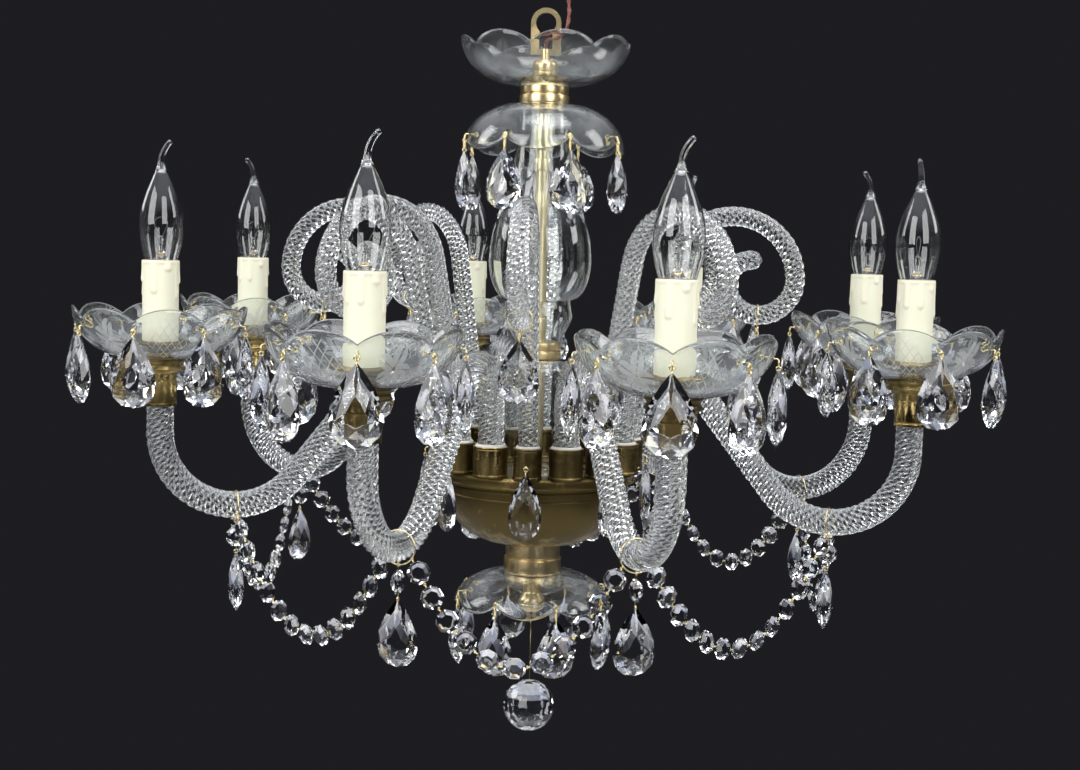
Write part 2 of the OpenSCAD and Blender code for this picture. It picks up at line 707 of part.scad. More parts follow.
// The threaded stud through the pan, the boss, the disc and the lamp socket inside the sleeve
module lamp_holders() {
    stud_r = 4.9;
    cap_depth = bulb_cap_h + slip;
    color("gold") for (k = [1 : arm_count]) at_candle(k) difference() {
        union() {
            translate([0, 0, ferrule_z + ferrule_h]) cylinder(r = stud_r, h = sleeve_z - gallery_z);
            translate([0, 0, pan_floor_z + 2 * slip]) cylinder(r = 10, h = boss_h - slip);
            translate([0, 0, disc_z]) cylinder(r = disc_r, h = disc_t);
            translate([0, 0, sleeve_z - eps]) cylinder(r = holder_r, h = sleeve_h - 3 + eps);
        }
        translate([0, 0, sleeve_top_z - cap_depth]) cylinder(r = bulb_cap_r + slip, h = cap_depth + eps);
    }
}

module candle_sleeves() {
    color("ivory") for (k = [1 : arm_count]) at_candle(k) translate([0, 0, sleeve_z]) difference() {
        cylinder(r = sleeve_r, h = sleeve_h);
        translate([0, 0, -eps]) cylinder(r = sleeve_r - sleeve_wall, h = sleeve_h + 2 * eps);
    }
}

// A bent-tip candle bulb with its screw cap in the socket
bulb_tip_r = 2.2;
bulb_tip_end_r = 1.9;
tip_bend_r = 28;
tip_bend = 42;
module bulb() {
    outline = eased([[0, 8.5], [-0.36 * bulb_h, bulb_r], [-bulb_h, bulb_tip_r]]);
    translate([0, 0, sleeve_top_z]) {
        rotate_extrude() polygon(concat([[0, 0]], outline, [[0, bulb_h]]));
        translate([0, 0, -bulb_cap_h]) cylinder(r = bulb_cap_r, h = bulb_cap_h + eps);
        translate([0, 0, bulb_h - eps]) {
            translate([tip_bend_r, 0, 0]) rotate([90, 180, 0]) rotate([0, 0, -tip_bend])
                rotate_extrude(angle = tip_bend) translate([tip_bend_r, 0])
                    circle(r = bulb_tip_end_r, $fn = 16);
            translate([tip_bend_r * (1 - cos(tip_bend)), 0, tip_bend_r * sin(tip_bend)])
                sphere(r = bulb_tip_r);
        }
    }
}

module bulbs() {
    color("white") for (k = [1 : arm_count]) at_candle(k) bulb();
}

// Octagon bead, its flats across X and its faces across Y
module octagon_bead() {
    rotate([90, 0, 0]) rotate([0, 0, 22.5])
        cylinder(r = bead_w / 2, h = bead_t, center = true, $fn = 8);
}
bead_flat = bead_w / 2 * cos(22.5);

// A swag hangs in a parabola; a table of its length gives even places along it
swag_side = 52.5;       // angle round the arm's wire loop at which a swag leaves it
swag_start_r = loop_r + wire_r + 2 * slip;
swag_inset = swag_start_r * sin(swag_side);
swag_steps = 40;
function swag_z(f) = -4 * swag_sag * f * (1 - f);
function swag_slope(f, span) = atan2(swag_z(f + 0.005) - swag_z(f - 0.005), 0.01 * span);
function swag_lengths(span, i = 1, done = 0, f0 = 0) =
    i > swag_steps ? []
    : let (f = i / swag_steps,
           d = norm([span / swag_steps, swag_z(f) - swag_z(f0)]))
      concat([[done + d, f]], swag_lengths(span, i + 1, done + d, f));

module swag(k) {
    a = low_xy(k) + swag_inset * dir(arm_angle(k) + 90);
    b = low_xy(k + 1) + swag_inset * dir(arm_angle(k + 1) - 90);
    span = norm(b - a);
    ang = atan2(b[1] - a[1], b[0] - a[0]);
    table = concat([[0, 0]], swag_lengths(span));
    total = table[swag_steps][0];
    beads = floor(total / (2 * bead_flat + bead_gap));
    pitch = total / beads;
    gap = pitch - 2 * bead_flat;
    translate([a[0], a[1], loop_z - swag_start_r * cos(swag_side)]) rotate([0, 0, ang]) {
        for (i = [0 : beads - 1])
            let (f = lookup(pitch * (i + 0.5), table))
            translate([f * span, 0, swag_z(f)]) rotate([0, -swag_slope(f, span), 0]) octagon_bead();
        for (i = [1 : beads - 1])
            let (f = lookup(pitch * i, table))
            translate([f * span, 0, swag_z(f)]) rotate([0, 90 - swag_slope(f, span), 0])
                cylinder(r = wire_r, h = gap - 2 * slip, center = true);
        for (side = [0, 1]) translate([side * span, 0, 0]) mirror([side, 0, 0])
            rotate([0, 90 - swag_slope(0.005, span), 0])
                cylinder(r = wire_r, h = gap / 2 - slip);
    }
}

module arm_loop() {
    translate([arm_low[0], 0, loop_z]) rotate([0, 90, 0])
        rotate_extrude() translate([loop_r, 0]) circle(r = wire_r, $fn = 16);
}

module bead_swags() {
    color("white") for (k = [1 : arm_count]) swag(k);
    color("gold") for (k = [1 : arm_count]) at_arm(k) arm_loop();
}

// A wire eye round the bottom of the arm's loop carries a bead and an almond
module arm_pendant(k) {
    link = 3;
    ring_r = wire_r + slip + stem_r;
    link_top_z = pendant_pivot_z - ring_r;
    bead_z = link_top_z - link - slip - bead_flat;
    almond_z = bead_z - bead_flat - slip - link - slip;
    at_arm(k) translate([arm_low[0], 0, 0]) {
        color("gold") {
            translate([0, 0, pendant_pivot_z]) rotate([90, 0, 0])
                rotate_extrude() translate([ring_r, 0]) circle(r = stem_r, $fn = 16);
            translate([0, 0, link_top_z - link]) cylinder(r = wire_r, h = link);
            translate([0, 0, almond_z + slip]) cylinder(r = wire_r, h = link);
        }
        color("white") {
            translate([0, 0, bead_z]) octagon_bead();
            translate([0, 0, almond_z]) rotate([0, 0, 90]) cut_drop(pendant_w, pendant_l);
        }
    }
}

hanging_loop();
supply_flex();
terminal_block();
bowl_nut();
ceiling_bowl();
top_collar();
upper_dish();
upper_dish_drops();
baluster();
middle_collar();
centre_tube();
glass_column();
arm_plate();
plaster_seats();
hub_bowl();
hub_drops();
bottom_collar();
lower_dish();
lower_dish_drops();
finial_nut();
finial_ball();
scroll_arms();
scroll_drops();
bead_swags();
ferrules();
lamp_holders();
candle_sleeves();
bulbs();
for (k = [1 : arm_count]) {
    candle_arm(k);
    drip_pan(k);
    pan_drops(k);
    arm_pendant(k);
}
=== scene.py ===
# %% [markdown]
# # A glass chandelier, dressed piece by piece
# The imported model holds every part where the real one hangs. It is loaded first and never moved.
# Each piece below takes its place from the model's own boxes, so nothing has to be fitted by eye.

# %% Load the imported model
import math

import bmesh
import bpy
from mathutils import Matrix, Vector


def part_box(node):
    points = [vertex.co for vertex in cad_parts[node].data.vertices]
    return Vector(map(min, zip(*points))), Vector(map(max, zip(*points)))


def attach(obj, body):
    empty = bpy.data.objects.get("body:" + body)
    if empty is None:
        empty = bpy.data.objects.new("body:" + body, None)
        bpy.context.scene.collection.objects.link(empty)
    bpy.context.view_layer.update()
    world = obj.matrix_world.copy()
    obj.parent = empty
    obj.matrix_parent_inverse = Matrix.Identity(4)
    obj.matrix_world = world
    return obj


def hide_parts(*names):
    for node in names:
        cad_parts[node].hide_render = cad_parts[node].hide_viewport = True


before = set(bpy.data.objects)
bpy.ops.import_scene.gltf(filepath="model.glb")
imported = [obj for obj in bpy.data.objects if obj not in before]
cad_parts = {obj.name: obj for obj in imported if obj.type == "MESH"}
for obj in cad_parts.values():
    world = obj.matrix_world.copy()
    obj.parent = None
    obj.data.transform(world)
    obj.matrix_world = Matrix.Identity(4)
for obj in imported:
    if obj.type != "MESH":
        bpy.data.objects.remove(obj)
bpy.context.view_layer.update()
MM = 0.001
COUNT = 8
scene = bpy.context.scene


def low(node):
    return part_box(node)[0]


def high(node):
    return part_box(node)[1]


def upright(height):
    return Vector((0, 0, height))


def raised(height):
    return Matrix.Translation(upright(height))


def in_scene(name, data):
    made = bpy.data.objects.new(name, data)
    scene.collection.objects.link(made)
    return made


# %% [markdown]
# ## The camera
# The photograph was taken from a little above the hub, tipped down and slightly rolled.
# The lens follows from the picture's width in pixels over its focal length in pixels.

# %% Place the camera
PICTURE_W = 1080
FOCAL_PIXELS = 1547
CAMERA_AZIMUTH = math.radians(4.2)
CAMERA_PITCH = math.radians(5.3)
CAMERA_ROLL = math.radians(1.5)
CAMERA_BACK = 1311 * MM
CAMERA_SIDE = 2.5 * MM
CAMERA_HEIGHT = -181 * MM

side = Vector((math.cos(CAMERA_AZIMUTH), math.sin(CAMERA_AZIMUTH), 0))
ahead = Vector((-math.sin(CAMERA_AZIMUTH), math.cos(CAMERA_AZIMUTH), 0))
up = upright(math.cos(CAMERA_PITCH)) + ahead * math.sin(CAMERA_PITCH)
view_x = side * math.cos(CAMERA_ROLL) + up * math.sin(CAMERA_ROLL)
view_y = up * math.cos(CAMERA_ROLL) - side * math.sin(CAMERA_ROLL)
view_z = view_x.cross(view_y)

camera_data = bpy.data.cameras.new("camera")
camera_data.sensor_width = 36
camera_data.lens = FOCAL_PIXELS / PICTURE_W * 36
camera_data.clip_start, camera_data.clip_end = 0.01, 60
camera = in_scene("camera", camera_data)
spot = side * CAMERA_SIDE - ahead * CAMERA_BACK + upright(CAMERA_HEIGHT)
view = Matrix((view_x, view_y, view_z)).transposed()
camera.matrix_world = Matrix.Translation(spot) @ view.to_4x4()
scene.camera = camera
print("lens", round(camera_data.lens, 2), "mm")

# %% [markdown]
# ## Sums written on nodes
# Node trees are read more easily as sums than as lists of links. `Term` wraps one output socket and
# lets `+`, `-`, `*` and comparisons add the Math nodes. `Graph.node` makes any other node in one
# call, and `principled` is that call for the shader that every finish is made of.


# %% Wrap the sockets and the node trees
def sums(operation, backwards=False):
    """An operator of Term: it adds a Math node to the tree."""

    def method(term, *others):
        values = (*others, term) if backwards else (term, *others)
        return term.graph.node("ShaderNodeMath", dict(enumerate(values)), operation=operation)

    return method


class Term:
    """One output socket, on which sums and products can be written."""

    def __init__(self, graph, socket):
        self.graph, self.socket = graph, socket

    __add__ = __radd__ = sums("ADD")
    __mul__ = __rmul__ = sums("MULTIPLY")
    __sub__, __rsub__ = sums("SUBTRACT"), sums("SUBTRACT", backwards=True)
    __lt__, __gt__ = sums("LESS_THAN"), sums("GREATER_THAN")

    def call(self, operation, *others):
        return sums(operation)(self, *others)

    def output(self, name):
        return Term(self.graph, self.socket.node.outputs[name])


class Graph:
    """A node tree in which one call makes a node, sets it and links it."""

    def __init__(self, tree):
        self.tree = tree

    def node(self, kind, inputs=None, output=0, stops=None, **settings):
        made = self.tree.nodes.new(kind)
        for name, value in settings.items():
            setattr(made, name, value)
        if stops:
            ramp = made.color_ramp.elements
            while len(ramp) < len(stops):
                ramp.new(1)
            for element, (place, colour) in zip(ramp, stops):
                element.position, element.color = place, colour
        for key, value in (inputs or {}).items():
            for term in value if isinstance(value, list) else [value]:
                if isinstance(term, Term):
                    self.tree.links.new(term.socket, made.inputs[key])
                else:
                    made.inputs[key].default_value = term
        return Term(self, made.outputs[output]) if made.outputs else made

    def mix(self, factor, a, b):
        return self.node("ShaderNodeMix", {0: factor, 6: a, 7: b}, output=2, data_type="RGBA")


def rgb(*values):
    return (*values, 1)


def new_material(name):
    material = bpy.data.materials.new(name)
    material.use_nodes = True
    material.node_tree.nodes.clear()
    graph = Graph(material.node_tree)
    return material, graph, graph.node("ShaderNodeTexCoord", output="Object")


def show(graph, shader):
    graph.node("ShaderNodeOutputMaterial", {"Surface": shader})


def principled(graph, **inputs):
    """Socket names are written with _ for a space."""
    named = {name.replace("_", " "): value for name, value in inputs.items()}
    return graph.node("ShaderNodeBsdfPrincipled", named)


def noise(graph, where, scale, detail=2.0):
    return graph.node("ShaderNodeTexNoise", {"Vector": where, "Scale": scale, "Detail": detail})


def bump(graph, height, distance, strength=1.0):
    return graph.node(
        "ShaderNodeBump", {"Height": height, "Distance": distance, "Strength": strength}
    )


print("nodes can be written as sums")

# %% [markdown]
# ## Room and light
# The chandelier hangs in front of a charcoal backdrop that runs all round it at eye level, and that
# is what shows straight through the glass from any side. Above and below the room is lighter, so
# rays that a facet throws up or down come home grey and not black. Large soft lamps on both sides
# draw the bright edges that make glass readable; they hang high enough not to show straight through
# it. The pale floor lies far below, as in a room.

# %% Make the room
BACKDROP = rgb(0.0125, 0.0125, 0.0150)
ROOM_LIGHT = rgb(0.60, 0.62, 0.69)
FILL_LIGHT = rgb(0.36, 0.36, 0.36)
FLOOR_Z = -2.3
FLOOR_R = 1.7

world = bpy.data.worlds.new("studio")
world.use_nodes = True
world.node_tree.nodes.clear()
graph = Graph(world.node_tree)
ray = graph.node("ShaderNodeLightPath", output="Is Camera Ray")
bent = ray.output("Is Glossy Ray").call("MAXIMUM", ray.output("Is Transmission Ray"))
way = graph.node("ShaderNodeTexCoord", output="Generated")
steep = graph.node("ShaderNodeSeparateXYZ", {"Vector": way}).output("Z").call("ABSOLUTE")
steep = graph.node("ShaderNodeMapRange", {"Value": steep, "From Min": 0.3, "From Max": 0.7})
room = graph.mix(bent, FILL_LIGHT, graph.mix(steep, BACKDROP, ROOM_LIGHT))
background = graph.node(
    "ShaderNodeBackground", {"Color": graph.mix(ray, room, BACKDROP), "Strength": 1.0}
)
graph.node("ShaderNodeOutputWorld", {"Surface": background})
scene.world = world
scene.view_settings.view_transform = "Standard"


def mesh_of(form, name):
    mesh = bpy.data.meshes.new(name)
    form.to_mesh(mesh)
    form.free()
    return mesh


form = bmesh.new()
bmesh.ops.create_circle(form, cap_ends=True, radius=FLOOR_R, segments=96)
floor_mesh = mesh_of(form, "floor")
floor_mesh.transform(raised(FLOOR_Z))
floor = in_scene("floor", floor_mesh)
pale, graph, where = new_material("pale_floor")
tone = graph.mix(noise(graph, where, 3.0), rgb(0.60, 0.60, 0.60), rgb(0.68, 0.68, 0.67))
show(graph, principled(graph, Base_Color=tone, Roughness=0.8))
floor_mesh.materials.append(pale)


# %% Hang the soft lamps
def soft_lamp(name, place, size, watts):
    lamp = bpy.data.lights.new(name, "AREA")
    lamp.shape, lamp.size, lamp.size_y, lamp.energy = "RECTANGLE", *size, watts
    holder = in_scene(name, lamp)
    aim = upright(-0.3) - Vector(place)
    holder.location = place
    holder.rotation_mode = "QUATERNION"
    holder.rotation_quaternion = aim.to_track_quat("-Z", "Y")


soft_lamp("front_left", (-1.5, -2.0, 0.75), (1.5, 1.8), 46)
soft_lamp("front_right", (1.3, -2.1, 0.8), (1.3, 1.8), 36)
soft_lamp("left_side", (-2.3, 0.2, 1.0), (0.8, 1.5), 18)
soft_lamp("right_side", (2.3, 0.1, 1.0), (0.8, 1.5), 18)
soft_lamp("top", (0.2, -0.3, 2.0), (1.4, 1.4), 30)
print("lamps", len(bpy.data.lights))

# %% [markdown]
# ## Meshes by hand
# Turned brass, blown glass and candle sleeves are all shapes of revolution. `turned` spins a closed
# outline of (radius, height) points and rounds each corner by the size given with it. The outline
# is put in anticlockwise order first, so that every face points outwards.


# %% Helpers for plain meshes
def new_mesh(name, points, faces, crease=35):
    mesh = bpy.data.meshes.new(name)
    mesh.from_pydata([tuple(p) for p in points], [], faces)
    mesh.polygons.foreach_set("use_smooth", [crease > 0] * len(mesh.polygons))
    if crease > 0:
        mesh.set_sharp_from_angle(angle=math.radians(crease))
    return mesh


def polar(radius, angle, height):
    return (radius * math.cos(angle), radius * math.sin(angle), height)


def rounded(outline):
    """Corner points (r, z) or (r, z, rounding) in, a finer outline out."""
    fine = []
    for i, corner in enumerate(outline):
        here = Vector(corner[:2])
        size = corner[2] if len(corner) > 2 else 0
        if size == 0:
            fine.append(here)
            continue
        before = Vector(outline[i - 1][:2]) - here
        after = Vector(outline[(i + 1) % len(outline)][:2]) - here
        a = here + before.normalized() * min(size, before.length / 2)
        b = here + after.normalized() * min(size, after.length / 2)
        for t in (0, 0.25, 0.5, 0.75, 1):
            fine.append(a * (1 - t) ** 2 + here * (2 * t * (1 - t)) + b * t**2)
    return fine


def turned(name, outline, steps=64, crease=35):
    outline = rounded(outline)
    pairs = zip(outline, outline[1:] + outline[:1])
    if sum(a.x * b.y - b.x * a.y for a, b in pairs) < 0:
        outline = outline[::-1]
    points, rings = [], []
    for radius, height in outline:
        count = 1 if radius < 1e-6 else steps
        rings.append([len(points) + j for j in range(count)] * (steps // count))
        for j in range(count):
            points.append(polar(radius, 2 * math.pi * j / steps, height))
    faces = []
    for ring, above in zip(rings, rings[1:] + rings[:1]):
        for j in range(steps):
            k = (j + 1) % steps
            corners = [ring[j], ring[k], above[k], above[j]]
            corners = [c for i, c in enumerate(corners) if c != corners[i - 1]]
            if len(corners) > 2:
                faces.append(corners)
    return new_mesh(name, points, faces, crease)


SLOTS = {
    "blown_glass": "clear_glass", "pan_glass": "clear_glass", "dish_glass": "clear_glass",
    "pale_brass": "polished_brass", "wire_brass": "polished_brass", "red_flex": "flex",
    "tungsten": "bulb_glass",
}


def wear(name, mesh, material, node, body="frame"):
    """A finished mesh becomes a piece that rides on a body and stands for its CAD node."""
    look = material.name.partition(".")[0]  # without the number that Blender adds to a taken name
    mesh.name = name
    mesh.materials.clear()
    mesh.materials.append(material)
    piece = in_scene(name, mesh)
    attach(piece, body)
    SLOTS.get(look, look)
    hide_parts(node)
    return piece


print("helpers ready")

# %% [markdown]
# ## Glass
# One glass would do for the eye, but the real pieces differ. The dishes are pressed soda glass with
# a green-grey cast, the arms are drawn rope glass, and the drops are cut lead crystal, which bends
# light more. Each is one Principled shader with full transmission; a soft bump gives the hand-made
# wave that breaks up reflections.


# %% Mix the plain glasses
GLASS_INDEX, BULB_INDEX, CRYSTAL_INDEX = 1.50, 1.47, 1.56


def clear(graph, colour, roughness, index=GLASS_INDEX, **inputs):
    return principled(
        graph, Base_Color=colour, Roughness=roughness, IOR=index, Transmission_Weight=1.0, **inputs
    )


def glass(name, tint, index, wave, wave_scale):
    material, graph, where = new_material(name)
    swirl = noise(graph, where, wave_scale, 3.0)
    colour = graph.mix(swirl, rgb(*tint), rgb(*(0.5 + t / 2 for t in tint)))
    show(graph, clear(graph, colour, swirl * 0.04, index, Normal=bump(graph, swirl, wave)))
    return material


blown_glass = glass("blown_glass", (0.95, 0.975, 0.96), GLASS_INDEX, 0.0003, 22)
bulb_glass = glass("bulb_glass", (0.97, 0.98, 0.97), BULB_INDEX, 0.0001, 40)
print("plain glasses", blown_glass.name, bulb_glass.name)

# %% [markdown]
# The rope glass is clear on its ridges, and a whitish rough layer in its grooves paints light
# streaks.
# Each rope's mesh carries a number called `ridge`, 1 on a crest and 0 in a groove, that mixes the
# two. A bump could draw the ribs too, but real ridges are what bends the light.

# %% Paint light streaks into the grooves of the rope glass
rope_glass, graph, where = new_material("rope_glass")
ridge = graph.node("ShaderNodeAttribute", output="Fac", attribute_name="ridge")
tone = graph.mix(noise(graph, where, 90.0), rgb(0.95, 0.975, 0.96), rgb(0.98, 0.99, 0.985))
polish = clear(graph, tone, noise(graph, where, 60.0) * 0.03)
# Painted light: this whitish rough shader in the grooves stands in for bright streaks along the
# ribs.
tone = graph.mix(noise(graph, where, 200.0), rgb(0.80, 0.83, 0.83), rgb(0.95, 0.96, 0.96))
painted_streak = principled(
    graph, Base_Color=tone, Roughness=noise(graph, where, 120.0) * 0.2 + 0.35, IOR=GLASS_INDEX,
    Transmission_Weight=0.55,
)
# Share of the painted light streaks, strongest at the bottom of each groove.
GROOVE_STREAK_SHARE = 0.36
dull = (1 - ridge) * (1 - ridge) * GROOVE_STREAK_SHARE
show(graph, graph.node("ShaderNodeMixShader", {0: dull, 1: polish, 2: painted_streak}))
print("rope glass has", len(rope_glass.node_tree.nodes), "nodes")

# %% [markdown]
# Cut crystal splits light into faint colours. Tracing each colour by itself would cost three times
# the rays, so each group of facets gets a slight cast of blue, violet or amber instead, from cells
# a few millimetres wide.

# %% Tint the cut crystal
crystal, graph, where = new_material("crystal")
cell = graph.node("ShaderNodeTexVoronoi", {"Vector": where, "Scale": 110.0}, output="Color")
sparkle = graph.node("ShaderNodeSeparateColor", {"Color": cell})
blue, white = rgb(0.78, 0.84, 1.0), rgb(1.0, 1.0, 1.0)
warm, amber = rgb(1.0, 0.99, 0.97), rgb(1.0, 0.93, 0.82)
cast = graph.node(
    "ShaderNodeValToRGB", {"Fac": sparkle},
    stops=[(0.0, blue), (0.4, white), (0.8, warm), (1.0, amber)],
)
show(graph, clear(graph, cast, noise(graph, where, 60.0) * 0.02, CRYSTAL_INDEX))
print("crystal has", len(crystal.node_tree.nodes), "nodes")

# %% [markdown]
# ## Engraved glass
# Every lobe of the pans and dishes is engraved in turn with a crossed lattice and a frosted leaf.
# The pattern needs a place on the glass and not in space, so the dish carries a UV map that counts
# lobes along U and runs from the foot to the rim along V. Only the outer face has V above zero.
# The cuts are ground glass: they scatter, so a rough white-grey shader is mixed in where they lie.
# A faint veil of the same shader lies over the rest: dust and wear of old pressed glass, and with
# them a painted sheen that lightens the glass. The pans are cut deeply, and the bowl and the two
# dishes of the stem only faintly.

# %% Engrave the dishes
LATTICE_PITCH, LATTICE_LINE = 0.13, 0.017


def near_line(value):
    """1 within half a line's width of the lines that repeat along this value."""
    from_line = ((value * (1 / LATTICE_PITCH)).call("FRACT") - 0.5).call("ABSOLUTE")
    return from_line < LATTICE_LINE / LATTICE_PITCH / 2


def engraved(name, depth, veil):
    """Glass with its cuts `depth` strong, under a veil of dust and painted sheen of this share."""
    material, graph, where = new_material(name)
    uv = graph.node("ShaderNodeTexCoord", output="UV")
    along = graph.node("ShaderNodeSeparateXYZ", {"Vector": uv})
    rise = along.output("Y")
    across = (along + 0.5).call("FRACT") - 0.5
    turn = (along * 0.5 + 0.25).call("FRACT") < 0.5
    height = rise - 0.60
    lattice = near_line(across + height * 0.8).call("MAXIMUM", near_line(across - height * 0.8))
    lattice = lattice * ((across.call("ABSOLUTE") + height.call("ABSOLUTE") * 0.9) < 0.34)
    angle = height.call("ARCTAN2", across)
    reach = (across * across * 1.5 + height * height).call("SQRT")
    lobe = (angle * 2.5).call("COSINE").call("ABSOLUTE")
    leaf = (reach < lobe * 0.17 + 0.14) * (1 - (lobe > 0.985)) * (reach > 0.035)
    grain = noise(graph, where, 900.0)
    swirl = noise(graph, where, 30.0, 3.0)
    # Dust and wear with a painted sheen: a faint whitish veil that lightens the whole glass.
    dust_and_painted_sheen = noise(graph, where, 260.0, 4.0) * swirl * veil
    cut = (lattice * turn + leaf * (1 - turn) * 0.8) * (rise > 0.001) * (grain * 0.5 + 0.6) * depth
    tone = graph.mix(swirl, rgb(0.93, 0.965, 0.95), rgb(0.97, 0.985, 0.975))
    pressed = clear(graph, tone, swirl * 0.05, Normal=bump(graph, swirl, 0.0004))
    tone = graph.mix(grain, rgb(0.66, 0.69, 0.69), rgb(0.90, 0.92, 0.91))
    ground = principled(
        graph, Base_Color=tone, Roughness=grain * 0.2 + 0.5, IOR=GLASS_INDEX,
        Transmission_Weight=0.5,
    )
    share = cut.call("MAXIMUM", dust_and_painted_sheen)
    show(graph, graph.node("ShaderNodeMixShader", {0: share, 1: pressed, 2: ground}))
    return material


pan_glass = engraved("pan_glass", 0.85, 0.16)
dish_glass = engraved("dish_glass", 0.2, 0.14)
print("engraved glass has", len(pan_glass.node_tree.nodes), "nodes")

# %% [markdown]
# ## Brass, wax, plaster
# The collars are freshly polished, while the hub has gone brown where nobody rubs it: the same
# metal with a different share of tarnish. Tarnish is darker and rougher, so one mask drives both.


# %% Mix the metals
def brass(name, bright, dull, spread, roughness, scale=45.0):
    """Brass with patches of tarnish over a `spread` share of it."""
    material, graph, where = new_material(name)
    patch = noise(graph, where, scale, 5.0)
    fine = noise(graph, where, scale * 9, 2.0)
    tarnish = graph.node(
        "ShaderNodeMapRange",
        {"Value": patch + (fine - 0.5) * 0.2, "From Min": 0.72 - spread, "From Max": 0.92 - spread},
    )
    show(graph, principled(
        graph, Base_Color=graph.mix(tarnish, rgb(*bright), rgb(*dull)), Metallic=1.0,
        Roughness=tarnish * 0.28 + fine * 0.06 + roughness, Normal=bump(graph, fine, 0.00015, 0.5),
    ))
    return material


polished_brass = brass("polished_brass", (0.84, 0.67, 0.37), (0.46, 0.33, 0.14), 0.2, 0.26)
antique_brass = brass("antique_brass", (0.50, 0.37, 0.15), (0.13, 0.095, 0.035), 0.42, 0.12, 22.0)
pale_brass = brass("pale_brass", (0.96, 0.84, 0.55), (0.82, 0.66, 0.36), 0.1, 0.38)
wire_brass = brass("wire_brass", (0.93, 0.78, 0.42), (0.66, 0.50, 0.20), 0.1, 0.2)
print("brasses", polished_brass.name, antique_brass.name, pale_brass.name, wire_brass.name)


# %% Mix wax, plaster and plastics
def plain(name, light, dark, roughness, scale, depth, **inputs):
    material, graph, where = new_material(name)
    patch = noise(graph, where, scale, 4.0)
    show(graph, principled(
        graph, Base_Color=graph.mix(patch, rgb(*dark), rgb(*light)),
        Roughness=patch * 0.15 + roughness, Normal=bump(graph, patch, depth), **inputs,
    ))
    return material


ivory = plain(
    "ivory", (0.92, 0.865, 0.69), (0.88, 0.82, 0.64), 0.38, 35.0, 0.0002, Subsurface_Weight=0.15,
    Subsurface_Scale=0.004,
)
plaster = plain("plaster", (0.86, 0.85, 0.82), (0.66, 0.64, 0.60), 0.75, 240.0, 0.0008)
red_flex = plain("red_flex", (0.22, 0.06, 0.04), (0.12, 0.03, 0.02), 0.35, 300.0, 0.0001)
block_plastic = plain("block_plastic", (0.85, 0.83, 0.75), (0.78, 0.75, 0.66), 0.4, 90.0, 0.0001)
tungsten = plain("tungsten", (0.42, 0.41, 0.40), (0.25, 0.25, 0.26), 0.3, 500.0, 0.0, Metallic=1.0)
print("materials", len(bpy.data.materials))

# %% [markdown]
# ## Rope glass as a rule
# A rope-twisted tube is a ribbed ring carried along a centreline while it turns. That is a rule, so
# Geometry Nodes make it: the centreline becomes a curve, its tilt grows with its length, and a ring
# with `Ribs` rounded ridges is swept along it. A `thick` number on each point lets an end close.


# %% Build the tree that sweeps a rope
def geometry_tree(name, **asks):
    """A new tree with named inputs; returns its graph and a Term for each input."""
    tree = bpy.data.node_groups.new(name, "GeometryNodeTree")
    kinds = {float: "NodeSocketFloat", int: "NodeSocketInt"}
    tree.interface.new_socket("Geometry", in_out="INPUT", socket_type="NodeSocketGeometry")
    for label, ask in asks.items():
        kind = ask if isinstance(ask, str) else kinds[type(ask)]
        socket = tree.interface.new_socket(label, in_out="INPUT", socket_type=kind)
        if not isinstance(ask, str):
            socket.default_value = ask
    tree.interface.new_socket("Geometry", in_out="OUTPUT", socket_type="NodeSocketGeometry")
    graph = Graph(tree)
    given = graph.node("NodeGroupInput")
    return graph, {label: given.output(label) for label in ["Geometry", *asks]}


def run_tree(graph, points, edges, values, numbers=None, vectors=None):
    """The tree runs on a mesh of these points, and its result comes back as a plain mesh."""
    mesh = bpy.data.meshes.new("line")
    mesh.from_pydata([tuple(p) for p in points], edges, [])
    for name, row in (numbers or {}).items():
        mesh.attributes.new(name, "FLOAT", "POINT").data.foreach_set("value", row)
    for name, rows in (vectors or {}).items():
        flat = [value for row in rows for value in row]
        mesh.attributes.new(name, "FLOAT_VECTOR", "POINT").data.foreach_set("vector", flat)
    host = in_scene("line", mesh)
    modifier = host.modifiers.new("rule", "NODES")
    modifier.node_group = graph.tree
    for item in graph.tree.interface.items_tree:
        if item.in_out == "INPUT" and item.name in values:
            modifier[item.identifier] = values[item.name]
    made = plain_mesh(host)
    bpy.data.meshes.remove(mesh)
    return outward(made)


def plain_mesh(host):
    """The mesh that an object's modifiers make; the object itself goes."""
    bpy.context.view_layer.update()
    depsgraph = bpy.context.evaluated_depsgraph_get()
    made = bpy.data.meshes.new_from_object(host.evaluated_get(depsgraph), depsgraph=depsgraph)
    bpy.data.objects.remove(host)
    return made


def outward(mesh):
    """A closed mesh that was made inside out is turned round."""
    form = bmesh.new()
    form.from_mesh(mesh)
    if form.calc_volume(signed=True) < 0:
        mesh.flip_normals()
    form.free()
    return mesh


rope_rule, ask = geometry_tree(
    "Twisted rope", Radius=0.01, Ribs=14, Groove=0.1, Twist=0.0, Step=0.002,
    Finish="NodeSocketMaterial",
)
line = rope_rule.node("GeometryNodeMeshToCurve", {"Mesh": ask["Geometry"]})
line = rope_rule.node(
    "GeometryNodeResampleCurve", {"Curve": line, "Length": ask["Step"]}, mode="LENGTH"
)
walked = rope_rule.node("GeometryNodeSplineParameter", output="Length")
line = rope_rule.node("GeometryNodeSetCurveTilt", {"Curve": line, "Tilt": walked * ask["Twist"]})
ring = rope_rule.node("GeometryNodeCurvePrimitiveCircle", {"Resolution": ask["Ribs"] * 4})
spot = rope_rule.node("GeometryNodeInputPosition")
xyz = rope_rule.node("ShaderNodeSeparateXYZ", {"Vector": spot})
round_angle = xyz.output("Y").call("ARCTAN2", xyz)
ridge = (round_angle * ask["Ribs"] * 0.5).call("COSINE").call("ABSOLUTE")
